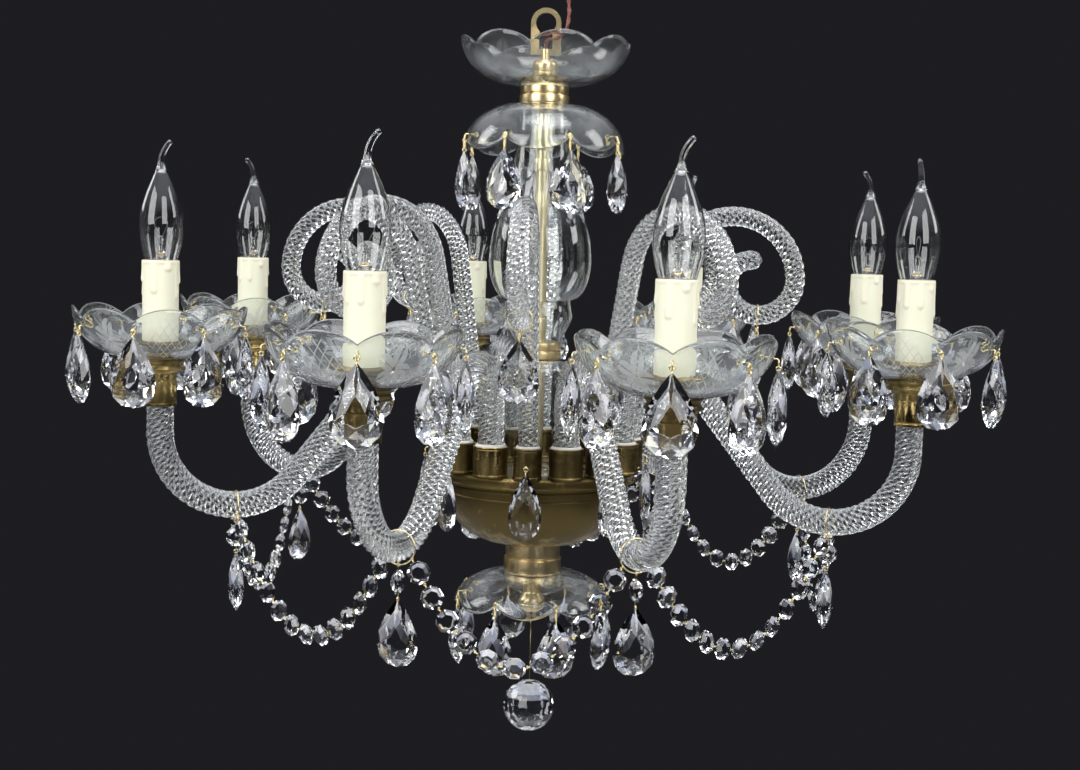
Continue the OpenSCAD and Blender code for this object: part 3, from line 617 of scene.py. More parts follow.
radius = ask["Radius"] * (1 - ask["Groove"] * (1 - ridge))
shaped = rope_rule.node(
    "ShaderNodeVectorMath", {0: spot, "Scale": radius}, operation="SCALE"
)
ring = rope_rule.node("GeometryNodeSetPosition", {"Geometry": ring, "Position": shaped})
ring = rope_rule.node(
    "GeometryNodeStoreNamedAttribute", {"Geometry": ring, "Name": "ridge", "Value": ridge},
    data_type="FLOAT", domain="POINT",
)
thick = rope_rule.node("GeometryNodeInputNamedAttribute", {"Name": "thick"}, data_type="FLOAT")
tube = rope_rule.node(
    "GeometryNodeCurveToMesh",
    {"Curve": line, "Profile Curve": ring, "Scale": thick, "Fill Caps": True},
)
tube = rope_rule.node("GeometryNodeRealizeInstances", {"Geometry": tube})
tube = rope_rule.node("GeometryNodeSetMaterial", {"Geometry": tube, "Material": ask["Finish"]})
rope_rule.node("NodeGroupOutput", {"Geometry": tube})
print("rope rule has", len(rope_rule.tree.nodes), "nodes")


# %% [markdown]
# ## The supply flex
# The flex comes up through the neck's bore, leaves the slot of the loop and stands up to a terminal
# block for the ceiling wires. Two cores are twisted together, which is a rope of two ribs. Its
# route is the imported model's own, in metres.


# %% Twist the flex
def rope(strands, thick=None, **values):
    """Sweeps every strand of points; `thick` scales the section point by point."""
    points, edges = [], []
    for strand in strands:
        edges += [(len(points) + i, len(points) + i + 1) for i in range(len(strand) - 1)]
        points += strand
    thick = thick or [1.0] * len(points)
    mesh = run_tree(rope_rule, points, edges, values, numbers={"thick": thick})
    mesh.polygons.foreach_set("use_smooth", [True] * len(mesh.polygons))
    mesh.set_sharp_from_angle(angle=math.radians(60))
    return mesh


FLEX_ROUTE = [
    (0, 0, -34), (0, 0, -30), (0, 0, -26), (0, 0, -22), (0, -1, -18.5), (1, -4, -16),
    (3, -7.5, -15), (6, -10.5, -15), (9.5, -13, -14.5), (13, -14.5, -13), (16, -15, -10),
    (18, -15, -6), (19, -14.5, -1), (19.5, -13.5, 4), (19.5, -12, 9), (19, -10, 14),
    (18.5, -9, 18), (18.5, -9, 22),
]
FLEX_D = 3.4 * MM
flex_route = [Vector(p) * MM for p in FLEX_ROUTE]
flex_length = sum((b - a).length for a, b in zip(flex_route, flex_route[1:]))
flex_mesh = rope(
    [flex_route], Radius=FLEX_D / 2, Ribs=2, Groove=0.35, Twist=2 * math.pi / 0.018, Step=0.0008,
    Finish=red_flex,
)
flex = wear("supply_flex_twisted", flex_mesh, red_flex, "supply_flex")


def dress(node, material):
    """A CAD node that is shown as it is gets its material."""
    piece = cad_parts[node]
    piece.data.materials.clear()
    piece.data.materials.append(material)
    return piece


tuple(flex_route[0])
dress("terminal_block", block_plastic)
dress("hanging_loop", polished_brass)
print("flex", round(flex_length * 1000, 1), "mm long")

# %% [markdown]
# ## Where the arms stand
# Eight scrolls stand on the spokes, and eight candle arms half a step between them. A candle arm
# was turned a few degrees in its plaster by hand, so its true direction is read from the packed
# model: the middle of its drip pan. The open bowl rests a few degrees round on its nut, and every
# bulb stops where its thread ends. Each matrix below carries a shape from its own axes to its
# place.


# %% Find the places
def middle(node):
    return (Vector(low(node)) + Vector(high(node))) / 2


def spoke(degrees, reach=0.0, height=0.0):
    turn = Matrix.Rotation(math.radians(degrees), 4, "Z")
    return turn @ Matrix.Translation((reach, 0, height))


STEP = 360 / COUNT
CUP_RING = 80 * MM
PLATE_TOP = low("glass_column")[2]
CUP_TOP = high("arm_plate")[2]
BOWL_SET = 16
BULB_SET = [116, 59, -100, -170, -5, 95, 74, 144]

at_arm, at_candle, at_scroll = [], [], []
for k in range(1, COUNT + 1):
    cup = spoke((k - 1.5) * STEP - 90, CUP_RING).translation
    tip = middle(f"drip_pan_{k}")
    way = math.degrees(math.atan2(tip.y - cup.y, tip.x - cup.x))
    at_arm.append(Matrix.Translation((cup.x, cup.y, 0)) @ spoke(way))
    at_candle.append(Matrix.Translation((tip.x, tip.y, 0)) @ spoke(way))
    at_scroll.append(spoke((k - 1) * STEP - 90, CUP_RING))
print("arm 1 points to", round(math.degrees(at_arm[0].to_euler().z), 1), "degrees")

# %% [markdown]
# ## Twisted arms and scrolls
# The centreline of each glass rope is a walk: go straight, or round a bend of a given radius. The
# list of legs is the same as in the CAD source, so the rope fills the same space as its solid. The
# ribs run at about 45 degrees, which is what the drawn and twisted glass of the photograph shows.

# %% Walk the ropes
ARM_LEGS = [(61, 0), (32, -141), (110, 0), (60, 51), (60, 90), (33, 0)]
SCROLL_LEGS = [(25, 0), (40, -12), (144, 0), (52, -168), (30, -90), (26, -90), (20, -90)]
ARM_R, SCROLL_R = 10.75 * MM, 8.25 * MM
RIBS, SCROLL_RIBS, GROOVE = 10, 8, 0.17
ROPE_STEP = 2.5 * MM


def walk(legs, step=3.0):
    """Points in the XZ plane, from straight lengths or bend radii, each with its turn."""
    x, z, heading = 0.0, PLATE_TOP / MM, math.pi / 2
    points = []
    for size, turn in legs:
        turn = math.radians(turn)
        count = math.ceil(size * (abs(turn) or 1) / step)
        for _ in range(count):
            points.append(Vector((x, 0, z)) * MM)
            half = turn / count / 2
            chord = 2 * size * math.sin(abs(half)) if turn else size / count
            x += chord * math.cos(heading + half)
            z += chord * math.sin(heading + half)
            heading += 2 * half
    return points + [Vector((x, 0, z)) * MM], heading


def spoke_up(heading):
    return Vector((math.cos(heading), 0, math.sin(heading)))


arm_line, _ = walk(ARM_LEGS)
scroll_line, end_way = walk(SCROLL_LEGS)
bend_low = min(arm_line, key=lambda p: p.z)
scroll_low = min(scroll_line[len(scroll_line) // 2:], key=lambda p: p.z)
scroll_thick = [1.0] * len(scroll_line)
scroll_end = scroll_line[-1]
for share in (0.35, 0.6, 0.8, 0.95, 1.0):
    scroll_line.append(scroll_end + spoke_up(end_way) * SCROLL_R * share)
    scroll_thick.append(math.sqrt(max(1 - share**2, 0.01)))
for k in range(COUNT):
    mesh = rope(
        [[at_arm[k] @ p for p in arm_line]], Radius=ARM_R, Ribs=RIBS, Groove=GROOVE,
        Twist=1 / ARM_R, Step=ROPE_STEP, Finish=rope_glass,
    )
    wear(f"arm_rope_{k + 1}", mesh, rope_glass, f"candle_arm_{k + 1}")
scroll_mesh = rope(
    [[at_scroll[k] @ p for p in scroll_line] for k in range(COUNT)], scroll_thick * COUNT,
    Radius=SCROLL_R, Ribs=SCROLL_RIBS, Groove=GROOVE, Twist=1 / SCROLL_R, Step=ROPE_STEP,
    Finish=rope_glass,
)
wear("scroll_ropes", scroll_mesh, rope_glass, "scroll_arms")
print("faces of a rope", len(mesh.polygons), "of the scrolls", len(scroll_mesh.polygons))


# %% [markdown]
# ## Copies as a rule
# Over a hundred drops, as many beads and their wire hooks repeat a few shapes. One tree stands a
# shape on every point of a host mesh, turned by the angles stored there, and makes the copies real.


# %% Build the tree that copies a shape
copy_rule, ask = geometry_tree(
    "Copies of a shape", Shape="NodeSocketObject", Finish="NodeSocketMaterial"
)
turned_by = copy_rule.node(
    "GeometryNodeInputNamedAttribute", {"Name": "turn"}, data_type="FLOAT_VECTOR"
)
shape = copy_rule.node(
    "GeometryNodeObjectInfo", {"Object": ask["Shape"], "As Instance": True}, output="Geometry"
)
many = copy_rule.node(
    "GeometryNodeInstanceOnPoints",
    {"Points": ask["Geometry"], "Instance": shape, "Rotation": turned_by},
)
many = copy_rule.node("GeometryNodeRealizeInstances", {"Geometry": many})
many = copy_rule.node("GeometryNodeSetMaterial", {"Geometry": many, "Material": ask["Finish"]})
copy_rule.node("NodeGroupOutput", {"Geometry": many})


def copies(mesh, places, finish):
    """One mesh with a copy of `mesh` at each of the matrices in `places`."""
    shape = bpy.data.objects.new("shape", mesh)
    made = run_tree(
        copy_rule, [place.translation for place in places], [], {"Shape": shape, "Finish": finish},
        vectors={"turn": [place.to_euler() for place in places]},
    )
    bpy.data.objects.remove(shape)
    return made


def joined(*meshes):
    form = bmesh.new()
    for mesh in meshes:
        form.from_mesh(mesh)
    return mesh_of(form, "joined")


print("copy rule has", len(copy_rule.tree.nodes), "nodes")

# %% [markdown]
# ## Scalloped dishes
# A pressed dish is almost a shape of revolution: only its rim rises and falls in eight arcs. So
# each direction gets its own profile, cut off at the rim's height there. The profile runs from the
# bore along the outside, over a rounded rim and back along the inside. The wall thins towards the
# rim.


# %% Press the dishes
LOBES = 8
NOTCH = 9 * MM
FOOT_R = 22 * MM
WALL, RIM_WALL = 3.6 * MM, 2.2 * MM
HOOK_HOLE_R = 1.5 * MM
HOLE_DEPTH = NOTCH + 5 * MM


def rim_height(radius, height, angle):
    """Height of the rim at an angle; lobes are arcs that meet in notches between them."""
    half = radius * math.sin(math.pi / LOBES)
    arc = (half**2 + NOTCH**2) / (2 * NOTCH)
    from_notch = (angle * LOBES / (2 * math.pi)) % 1 - 0.5
    x = half - radius * math.sin(abs(from_notch) * 2 * math.pi / LOBES)
    return height - arc + math.sqrt(arc**2 - x**2)


def dish_profile(radius, height, bore, top, steps=14):
    """Points (r, z, v) of the wall; v counts along the outside and is negative inside."""

    def curve(r, h, base, rim, face):
        last = math.acos(1 - (rim - base) / (h - base))
        for i in range(steps + 1):
            a = last * i / steps
            z = base + (h - base) * (1 - math.cos(a))
            yield FOOT_R + (r - FOOT_R) * math.sin(a), z, face * (0.02 + 0.98 * i / steps)

    low_rim = top - RIM_WALL / 2
    outer = list(curve(radius, height, 0, low_rim, 1))
    inner = list(curve(radius - RIM_WALL, height, WALL, low_rim, -1))
    centre = (outer[-1][0] + inner[-1][0]) / 2
    half = (outer[-1][0] - inner[-1][0]) / 2
    over = [
        (centre + half * math.cos(a), low_rim + RIM_WALL / 2 * math.sin(a), -1)
        for a in (math.radians(d) for d in (35, 65, 90, 115, 145))
    ]
    return [(bore, 0, -1), *outer, *over, *inner[::-1], (bore, WALL, -1)]


def dish(name, radius, height, bore, holes=True, steps=LOBES * 16):
    profiles = []
    for j in range(steps):
        angle = 2 * math.pi * j / steps
        profiles.append(dish_profile(radius, height, bore, rim_height(radius, height, angle)))
    rows = len(profiles[0])
    points = [
        polar(r, 2 * math.pi * j / steps, z)
        for j, profile in enumerate(profiles)
        for r, z, _ in profile
    ]
    faces, places = [], []
    for j in range(steps):
        k = (j + 1) % steps
        for i in range(rows):
            up = (i + 1) % rows
            faces.append((j * rows + i, k * rows + i, k * rows + up, j * rows + up))
            for column, row in ((j, i), (j + 1, i), (j + 1, up), (j, up)):
                places += [column * LOBES / steps, profiles[column % steps][row][2]]
    mesh = new_mesh(name, points, faces, crease=50)
    mesh.uv_layers.new(name="UVMap").uv.foreach_set("vector", places)
    return drilled(mesh, radius, height - HOLE_DEPTH) if holes else mesh


def drilled(mesh, radius, height):
    """Hook holes below the notches, cut through the wall."""
    form = bmesh.new()
    for i in range(LOBES):
        place = spoke((i + 0.5) * 360 / LOBES, radius - 12 * MM, height)
        bmesh.ops.create_cone(
            form, cap_ends=True, segments=12, radius1=HOOK_HOLE_R, radius2=HOOK_HOLE_R,
            depth=40 * MM, matrix=place @ Matrix.Rotation(math.pi / 2, 4, "Y"),
        )
    drills = in_scene("drills", mesh_of(form, "drills"))
    host = in_scene("host", mesh)
    cut = host.modifiers.new("holes", "BOOLEAN")
    cut.operation, cut.solver, cut.object = "DIFFERENCE", "EXACT", drills
    made = plain_mesh(host)
    bpy.data.objects.remove(drills)
    return made


def stand(mesh, matrix, upside_down=False):
    """A copy of a mesh at its place, turned over if it hangs."""
    made = mesh.copy()
    if upside_down:
        made.transform(Matrix.Scale(-1, 4, (0, 0, 1)))
        made.flip_normals()
    made.transform(matrix)
    return made


def tall(node):
    return high(node)[2] - low(node)[2]


BOWL_R, PAN_R, DISH_BORE = 71 * MM, 67 * MM, 6.5 * MM
DISH_R = {"upper_dish": 68 * MM, "lower_dish": 67 * MM}
mesh = dish("bowl", BOWL_R, tall("ceiling_bowl"), DISH_BORE, holes=False)
mesh = stand(mesh, spoke(BOWL_SET, 0, low("ceiling_bowl")[2]))
wear("bowl_glass", mesh, dish_glass, "ceiling_bowl")
for node, radius in DISH_R.items():
    mesh = dish("inverted", radius, tall(node), DISH_BORE)
    mesh = stand(mesh, spoke(0, 0, high(node)[2]), upside_down=True)
    wear(f"{node}_glass", mesh, dish_glass, node)

PAN_H, PAN_Z = tall("drip_pan_1"), low("drip_pan_1")[2]
pan_mesh = dish("pan", PAN_R, PAN_H, DISH_BORE)
for k in range(COUNT):
    mesh = stand(pan_mesh, at_candle[k] @ raised(PAN_Z))
    wear(f"pan_glass_{k + 1}", mesh, pan_glass, f"drip_pan_{k + 1}", body=f"pan_{k + 1}")
print("faces of a pan", len(pan_mesh.polygons))

# %% [markdown]
# ## Cut drops, beads and the ball
# A pear drop is cut as rings of flat facets: sixteen corners round the girdle, eight on the
# shoulder, eight round the table. Each ring stands half a step round from the last, which gives the
# kite-shaped facets that send light in many directions. All faces stay flat.


# %% Cut the drops
def pear_drop(width, length, cuts=8, thickness=0.35):
    """Hangs from the origin, flat across X, so that its table faces along X."""

    def ring(count, shift, share, depth):
        corners = []
        for i in range(count):
            a = 2 * math.pi * (i + shift) / count
            u = (1 - math.cos(a)) / 2
            y = width / 2 * math.sin(a) * math.sqrt(u) / 0.77 * share
            z = -length * (0.62 + (u - 0.62) * share)
            corners.append(Vector((depth * width * thickness / 2, y, z)))
        return corners

    girdle = ring(2 * cuts, 0, 1.0, 0)
    points = list(girdle)
    faces = []
    for side in (1, -1):
        shoulder, table = ring(cuts, 0.5, 0.72, 0.62 * side), ring(cuts, 0, 0.38, side)
        a, b = len(points), len(points) + cuts
        points += shoulder + table
        for i in range(cuts):
            j = (i + 1) % cuts
            near = [
                (2 * i, 2 * i + 1, a + i),
                (2 * i + 1, (2 * i + 2) % (2 * cuts), a + i),
                (a + i, (2 * i + 2) % (2 * cuts), a + j),
                (a + i, a + j, b + j),
                (b + i, a + i, b + j),
            ]
            faces += [face[::side] for face in near]
        faces.append([b + i for i in range(cuts)][::side])
    return outward(new_mesh("pear_drop", points, faces, crease=0))


def octagon_bead(width, thickness):
    """An octagon with bevelled faces; its flats lie across X and its tables face along Y."""
    points = []
    for y, share in ((-0.5, 0.6), (-0.12, 1), (0.12, 1), (0.5, 0.6)):
        for i in range(8):
            a = math.radians(22.5 + 45 * i)
            r = width / 2 * share
            points.append((r * math.cos(a), y * thickness, r * math.sin(a)))
    faces = [list(range(8)), list(range(31, 23, -1))]
    for ring in (0, 8, 16):
        for i in range(8):
            j = (i + 1) % 8
            faces.append((ring + i, ring + 8 + i, ring + 8 + j, ring + j))
    return outward(new_mesh("octagon_bead", points, faces, crease=0))


BALL_RINGS = [(90, 1), (72, 6), (54, 11), (36, 15), (18, 18), (0, 20)]
BALL_CUTS = BALL_RINGS + [(-rise, count) for rise, count in BALL_RINGS[-2::-1]]


def cut_ball(inner_radius):
    """A ball cut flat in rings of facets: each is a plane that touches the inner sphere."""
    form = bmesh.new()
    for ring, (rise, count) in enumerate(BALL_CUTS):
        level = math.cos(math.radians(rise))
        for i in range(count):
            a = 2 * math.pi * (i + ring / 2) / count
            form.verts.new(polar(level, a, math.sin(math.radians(rise))))
    bmesh.ops.convex_hull(form, input=form.verts)
    bmesh.ops.recalc_face_normals(form, faces=form.faces)
    form.faces.index_update()
    corners = [
        Matrix([vertex.co for vertex in face.verts[:3]]).inverted() @ Vector((1, 1, 1))
        for face in form.faces
    ]
    faces = [[loop.face.index for loop in sorted_loops(vertex)] for vertex in form.verts]
    form.free()
    mesh = new_mesh("cut_ball", [c * inner_radius for c in corners], faces, crease=0)
    return outward(merged(mesh))


def merged(mesh):
    """Points in the same place become one."""
    form = bmesh.new()
    form.from_mesh(mesh)
    bmesh.ops.remove_doubles(form, verts=form.verts, dist=0.01 * MM)
    form.to_mesh(mesh)
    form.free()
    return mesh


def sorted_loops(vertex):
    """The loops round a vertex, in order."""
    loop = vertex.link_loops[0]
    loops = [loop]
    while True:
        loop = loop.link_loop_prev.link_loop_radial_next
        if loop == loops[0]:
            return loops
        loops.append(loop)


BEAD_W, BEAD_T = 17 * MM, 7 * MM
bead_mesh = octagon_bead(BEAD_W, BEAD_T)
drop_meshes = {
    "pan": pear_drop(35 * MM, 54 * MM),
    "dish": pear_drop(34 * MM, 50 * MM),
    "hub": pear_drop(27 * MM, 55 * MM),
    "scroll": pear_drop(31 * MM, 48 * MM),
    "pendant": pear_drop(32 * MM, 50 * MM),
}
print("facets of a drop", len(drop_meshes["pan"].polygons))

# %% [markdown]
# ## Brass wire
# Each drop hangs from a soft brass wire: an eye inside the glass, a pin through the hole, a loop
# outside it, tight turns round the stem, and an eye that holds the drop's tip. The two dishes of
# the stem have longer hooks. Wires are swept by the rope rule with no groove.

# %% Bend the wires
WIRE_R = 0.5 * MM
PIN_R = 0.6 * MM
SLIP = 0.3 * MM
HOOK_OUT = 3.2 * MM
HOOK_STEM, DISH_STEM = 5 * MM, 12 * MM
EYE_R = 1.5 * MM


def arc(centre, radius, first, last, steps=12, plane=((1, 0, 0), (0, 0, 1))):
    """Points on an arc; angles in degrees from the plane's first direction."""
    a, b = (Vector(way) for way in plane)
    turns = [math.radians(first + (last - first) * i / steps) for i in range(steps + 1)]
    return [Vector(centre) + radius * (a * math.cos(t) + b * math.sin(t)) for t in turns]


def coil(x, top, bottom):
    """Turns of wire wound tightly round a stem."""
    turns = round((top - bottom) / (1.3 * WIRE_R))
    steps = turns * 10
    return [
        Vector((
            x + 2 * WIRE_R * math.cos(turns * 2 * math.pi * i / steps),
            2 * WIRE_R * math.sin(turns * 2 * math.pi * i / steps),
            top + (bottom - top) * i / steps,
        ))
        for i in range(steps + 1)
    ]


def tip_eye(x, z):
    """The eye below a stem's end, round the tip of a drop."""
    return arc((x, 0, z - EYE_R), EYE_R, 90, 450)


def wire(strands, step=0.0005, radius=WIRE_R):
    return rope(strands, Radius=radius, Ribs=2, Groove=0.0, Step=step, Finish=wire_brass)


def hook(reach, out, stem=HOOK_STEM, eye=True):
    bend = 1.4 * MM
    main = arc((-reach - EYE_R, 0, 0), EYE_R, -300, 0) if eye else [Vector((-reach, 0, 0))]
    main += arc((out - bend, 0, -bend), bend, 90, 0, 5)
    main += tip_eye(out, -stem)
    loops = [arc((out, 0, -2.6 * MM), 1.7 * MM, 0, 360, 16, ((0, 1, 0), (0, 0, 1)))]
    if stem > HOOK_STEM:
        loops.append(arc((out, 0, -5.6 * MM), 1.5 * MM, 0, 360, 16))
        loops.append(coil(out, -7.2 * MM, 0.4 * MM - stem))
    return wire([main, *loops], step=0.0007)


print("wires can be bent")


# %% Hang the drops round the dishes
def hooked(name, node, out, places, drop, stem=HOOK_STEM, eye=True, body="frame"):
    """Drops with their hooks, each hook's pin through the hole at its place."""
    hang = Matrix.Translation((out, 0, -stem - SLIP))
    crystals = copies(drop, [place @ hang for place in places], crystal)
    hooks = copies(hook(REACH if eye else 1 * MM, out, stem, eye), places, wire_brass)
    wear(f"{name}_crystals", crystals, crystal, node, body=body)
    wear(f"{name}_hooks", hooks, wire_brass, node, body=body)


def wall_radius(radius, height, z):
    return FOOT_R + (radius - FOOT_R) * math.sqrt(1 - (1 - z / height) ** 2)


REACH = 5.8 * MM
PIN_LOW = HOOK_HOLE_R - PIN_R - SLIP
for node, radius in DISH_R.items():
    height = tall(node)
    z = height - HOLE_DEPTH
    wall = wall_radius(radius, height, z)
    flare = wall_radius(radius, height, z + HOOK_STEM) - wall
    out = max(HOOK_OUT, flare + WIRE_R + 2 * SLIP)
    top = high(node)[2] - z - PIN_LOW
    places = [spoke((i + 0.5) * STEP, wall, top) for i in range(LOBES)]
    hooked(node, f"{node}_drops", out, places, drop_meshes["dish"], DISH_STEM)

z = PAN_H - HOLE_DEPTH
wall = wall_radius(PAN_R, PAN_H, z)
for k in range(COUNT):
    places = [
        at_candle[k] @ spoke((i + 0.5) * STEP, wall, PAN_Z + z - PIN_LOW) for i in range(LOBES)
    ]
    hooked(f"pan_{k + 1}", f"pan_drops_{k + 1}", HOOK_OUT, places, drop_meshes["pan"],
           body=f"pan_{k + 1}")

HUB_HOOK_DROP = 13 * MM
CUP_R = SCROLL_R + 3.1 * MM
places = [
    at_scroll[k] @ Matrix.Translation((CUP_R, 0, CUP_TOP - HUB_HOOK_DROP)) for k in range(COUNT)
]
hooked("hub", "hub_drops", HOOK_OUT, places, drop_meshes["hub"], eye=False)
print("drops on hooks", LOBES * (2 + COUNT) + COUNT)


# %% Hang the drops on wire loops
def loop_round(place, radius):
    """A wire ring round a rope that runs along X."""
    return [place @ p for p in arc((0, 0, 0), radius, 0, 360, 48, ((0, 1, 0), (0, 0, 1)))]


ring_r = SCROLL_R + SLIP + PIN_R
rings, stems, places = [], [], []
for k in range(COUNT):
    place = at_scroll[k] @ Matrix.Translation(scroll_low)
    rings.append(loop_round(place, ring_r))
    stem = [upright(-ring_r), *tip_eye(0, -ring_r - HOOK_STEM)]
    stems.append([place @ p for p in stem])
    stems.append([place @ p for p in coil(0, -ring_r - 1.2 * MM, -ring_r - 4.6 * MM)])
    places.append(place @ raised(-ring_r - HOOK_STEM - SLIP))
wear("scroll_wires", wire(rings + stems), wire_brass, "scroll_drops")
scroll_crystals = copies(drop_meshes["scroll"], places, crystal)
wear("scroll_crystals", scroll_crystals, crystal, "scroll_drops")

LOOP_HANG = 0.75 * MM
LOOP_R = ARM_R + SLIP + PIN_R + LOOP_HANG
BEAD_FLAT = BEAD_W / 2 * math.cos(math.radians(22.5))
PENDANT_EYE_R = 1.4 * MM
LINK = 3 * MM
loop_middle = bend_low - upright(LOOP_HANG)
pivot = loop_middle - upright(LOOP_R)
link_top = -PENDANT_EYE_R
bead_z = link_top - LINK - SLIP - BEAD_FLAT
almond_z = bead_z - BEAD_FLAT - 2 * SLIP - LINK
for k in range(COUNT):
    place = at_arm[k] @ Matrix.Translation(pivot)
    eye = arc((0, 0, 0), PENDANT_EYE_R, 90, 450)
    upper = [upright(link_top), upright(bead_z + BEAD_FLAT + 0.1 * MM)]
    lower = [upright(bead_z - BEAD_FLAT - 0.1 * MM), *tip_eye(0, almond_z + 0.6 * MM)]
    strands = [[place @ p for p in strand] for strand in (eye, upper, lower)]
    crystals = joined(
        copies(bead_mesh, [place @ raised(bead_z)], crystal),
        copies(drop_meshes["pendant"], [place @ raised(almond_z)], crystal),
    )
    node, body = f"arm_pendant_{k + 1}", f"pendant_{k + 1}"
    wear(f"pendant_wires_{k + 1}", wire(strands), wire_brass, node, body=body)
    wear(f"pendant_crystals_{k + 1}", crystals, crystal, node, body=body)
print("pendants", COUNT)

# %% [markdown]
# ## Bead swags
# A swag is a parabola between two arms. Beads sit at equal lengths along it, so the curve's length
# is summed in small steps first. A short pin with an eye at each end joins each pair of beads.

# %% String the beads
SWAG_SAG = 75 * MM
SWAG_SIDE = math.radians(52.5)
BEAD_GAP = 3 * MM
start_r = LOOP_R + PIN_R + 2 * SLIP


def swag_point(a, b, f):
    return a.lerp(b, f) - upright(4 * SWAG_SAG * f * (1 - f))


def along(a, b, share, steps=200):
    """The place at a share of the swag's length, with X along the string."""
    line = [swag_point(a, b, i / steps) for i in range(steps + 1)]
    lengths = [(q - p).length for p, q in zip(line, line[1:])]
    left = share * sum(lengths)
    i = 0
    while i < steps - 1 and left > lengths[i]:
        left -= lengths[i]
        i += 1
    way = line[i + 1] - line[i]
    x = way.normalized()
    y = upright(1).cross(x).normalized()
    turn = Matrix((x, y, x.cross(y))).transposed().to_4x4()
    return Matrix.Translation(line[i] + way * (left / lengths[i])) @ turn


def swag_ends(k):
    """Where swag k starts and ends, beside the wire loops of two neighbouring arms."""
    aside = Vector((0, start_r * math.sin(SWAG_SIDE), -start_r * math.cos(SWAG_SIDE)))
    a = at_arm[k] @ (loop_middle + aside)
    b = at_arm[(k + 1) % COUNT] @ (loop_middle + Vector((0, -aside.y, aside.z)))
    return a, b


bead_places, gap_places = [], []
for k in range(COUNT):
    a, b = swag_ends(k)
    line = [swag_point(a, b, i / 200) for i in range(201)]
    total = sum((q - p).length for p, q in zip(line, line[1:]))
    beads = int(total / (2 * BEAD_FLAT + BEAD_GAP))
    for i in range(beads):
        roll = Matrix.Rotation(math.radians(14) * math.sin(5.3 * i + 2.1 * k), 4, "X")
        bead_places.append(along(a, b, (i + 0.5) / beads) @ roll)
        gap_places.append(along(a, b, i / beads))
    gap_places.append(along(a, b, 0.9999))
pin = [Vector((-2.2 * MM, 0, 0)), Vector((2.2 * MM, 0, 0))]
link = arc((-0.9 * MM, 0, 0), 0.9 * MM, 0, 360, 10)
other = arc((0.9 * MM, 0, 0), 0.9 * MM, 180, 540, 10, ((1, 0, 0), (0, 1, 0)))
pins = copies(wire([pin, link, other], radius=0.4 * MM), gap_places, wire_brass)
arm_rings = wire([
    loop_round(place @ Matrix.Translation(loop_middle), LOOP_R) for place in at_arm
])
wear("swag_beads", copies(bead_mesh, bead_places, crystal), crystal, "bead_swags")
wear("swag_wires", joined(pins, arm_rings), wire_brass, "bead_swags")
print("beads", len(bead_places))

# %% Hang the cut ball
BALL_R = 21.7 * MM
ball_eye = upright(high("finial_ball")[2] - PIN_R)
ball_middle = upright(low("finial_ball")[2] + BALL_R)
ball = cut_ball(BALL_R)
ball.transform(Matrix.Translation(ball_middle))
wear("ball_crystal", ball, crystal, "finial_ball", body="ball")
link_low = ball_eye - upright(7 * MM)
half_link = 3.5 * MM
ring = [
    ball_eye + Vector((0, s, 0)) for s in (-half_link, half_link)
] + [link_low + Vector((0, s, 0)) for s in (half_link, -half_link)]
ring.append(ring[0])
stem = [link_low, ball_middle + upright(BALL_R * 0.9)]
wear("ball_wire", wire([ring, stem], step=0.001), wire_brass, "finial_ball", body="ball")
print("facets of the ball", len(ball.polygons))

# %% [markdown]
# ## Turned brass
# Collars, nuts, ferrules and discs are lathe work, so each is an outline that is spun. The outlines
# repeat the measures of the CAD solids and add what a lathe leaves: rounded edges and fine grooves.

# %% Turn the brass of the stem
TUBE_R = 6 * MM
BORE = TUBE_R + 0.1 * MM


def at_height(mesh, height):
    mesh.transform(raised(height))
    return mesh


def scaled(outline):
    """An outline written in millimetres."""
    return [tuple(value * MM for value in corner) for corner in outline]


def ring_collar(node, inset):
    """Two plain bands with a narrow dark groove between them, the upper one a little smaller."""
    r, h = high(node)[0] / MM, tall(node) / MM
    half, above = h / 2, r - inset
    outline = scaled([
        (BORE / MM, 0), (r - 1, 0, 0.3), (r, 1, 0.6), (r, half - 0.8, 0.5),
        (r - 2, half - 0.5, 0.2), (r - 2, half + 0.5, 0.2), (above, half + 0.8, 0.5),
        (above, h - 1, 0.6), (above - 1, h, 0.3), (BORE / MM, h),
    ])
    return at_height(turned("collar", outline, 96), low(node)[2])


for node, inset in (("top_collar", 0.4), ("middle_collar", 0.0), ("bottom_collar", 1.2)):
    wear(f"{node}_bands", ring_collar(node, inset), polished_brass, node)

nut = scaled([
    (6.1, 0), (9.5, 0, 0.5), (10.5, 1, 0.5), (10.5, 4, 0.2), (9.9, 4.5, 0.2), (10.5, 5, 0.2),
    (10.5, 11.5, 1.0), (8, 14.5, 1.0), (4.1, 14.5), (4.1, 10.5), (6.1, 10.5),
])
nut = at_height(turned("nut", nut), low("bowl_nut")[2])
wear("bowl_nut_turned", nut, polished_brass, "bowl_nut")

tube_low, tube_high = low("centre_tube")[2], high("centre_tube")[2]
baluster_low, baluster_high = low("baluster")[2], high("baluster")[2]
tube = [(TUBE_R - 1 * MM, tube_low), (TUBE_R, tube_low)]
COUPLINGS = [(0.12, 11, 3.0), (0.24, 5, 1.4), (0.83, 4, 1.6), (0.93, 6, 1.0)]
for share, half, stand_out in COUPLINGS:
    for way in (-1, 1):
        z = baluster_high - share * (baluster_high - baluster_low) + way * half * MM
        corners = [(TUBE_R, z), (TUBE_R + stand_out * MM, z, 0.8 * MM)]
        tube += corners if way < 0 else corners[::-1]
tube = tube[:2] + sorted(tube[2:], key=lambda corner: corner[1]) + [
    (TUBE_R, tube_high), (TUBE_R - 1 * MM, tube_high),
]
wear("tube_with_couplings", turned("tube", tube, 48), pale_brass, "centre_tube")

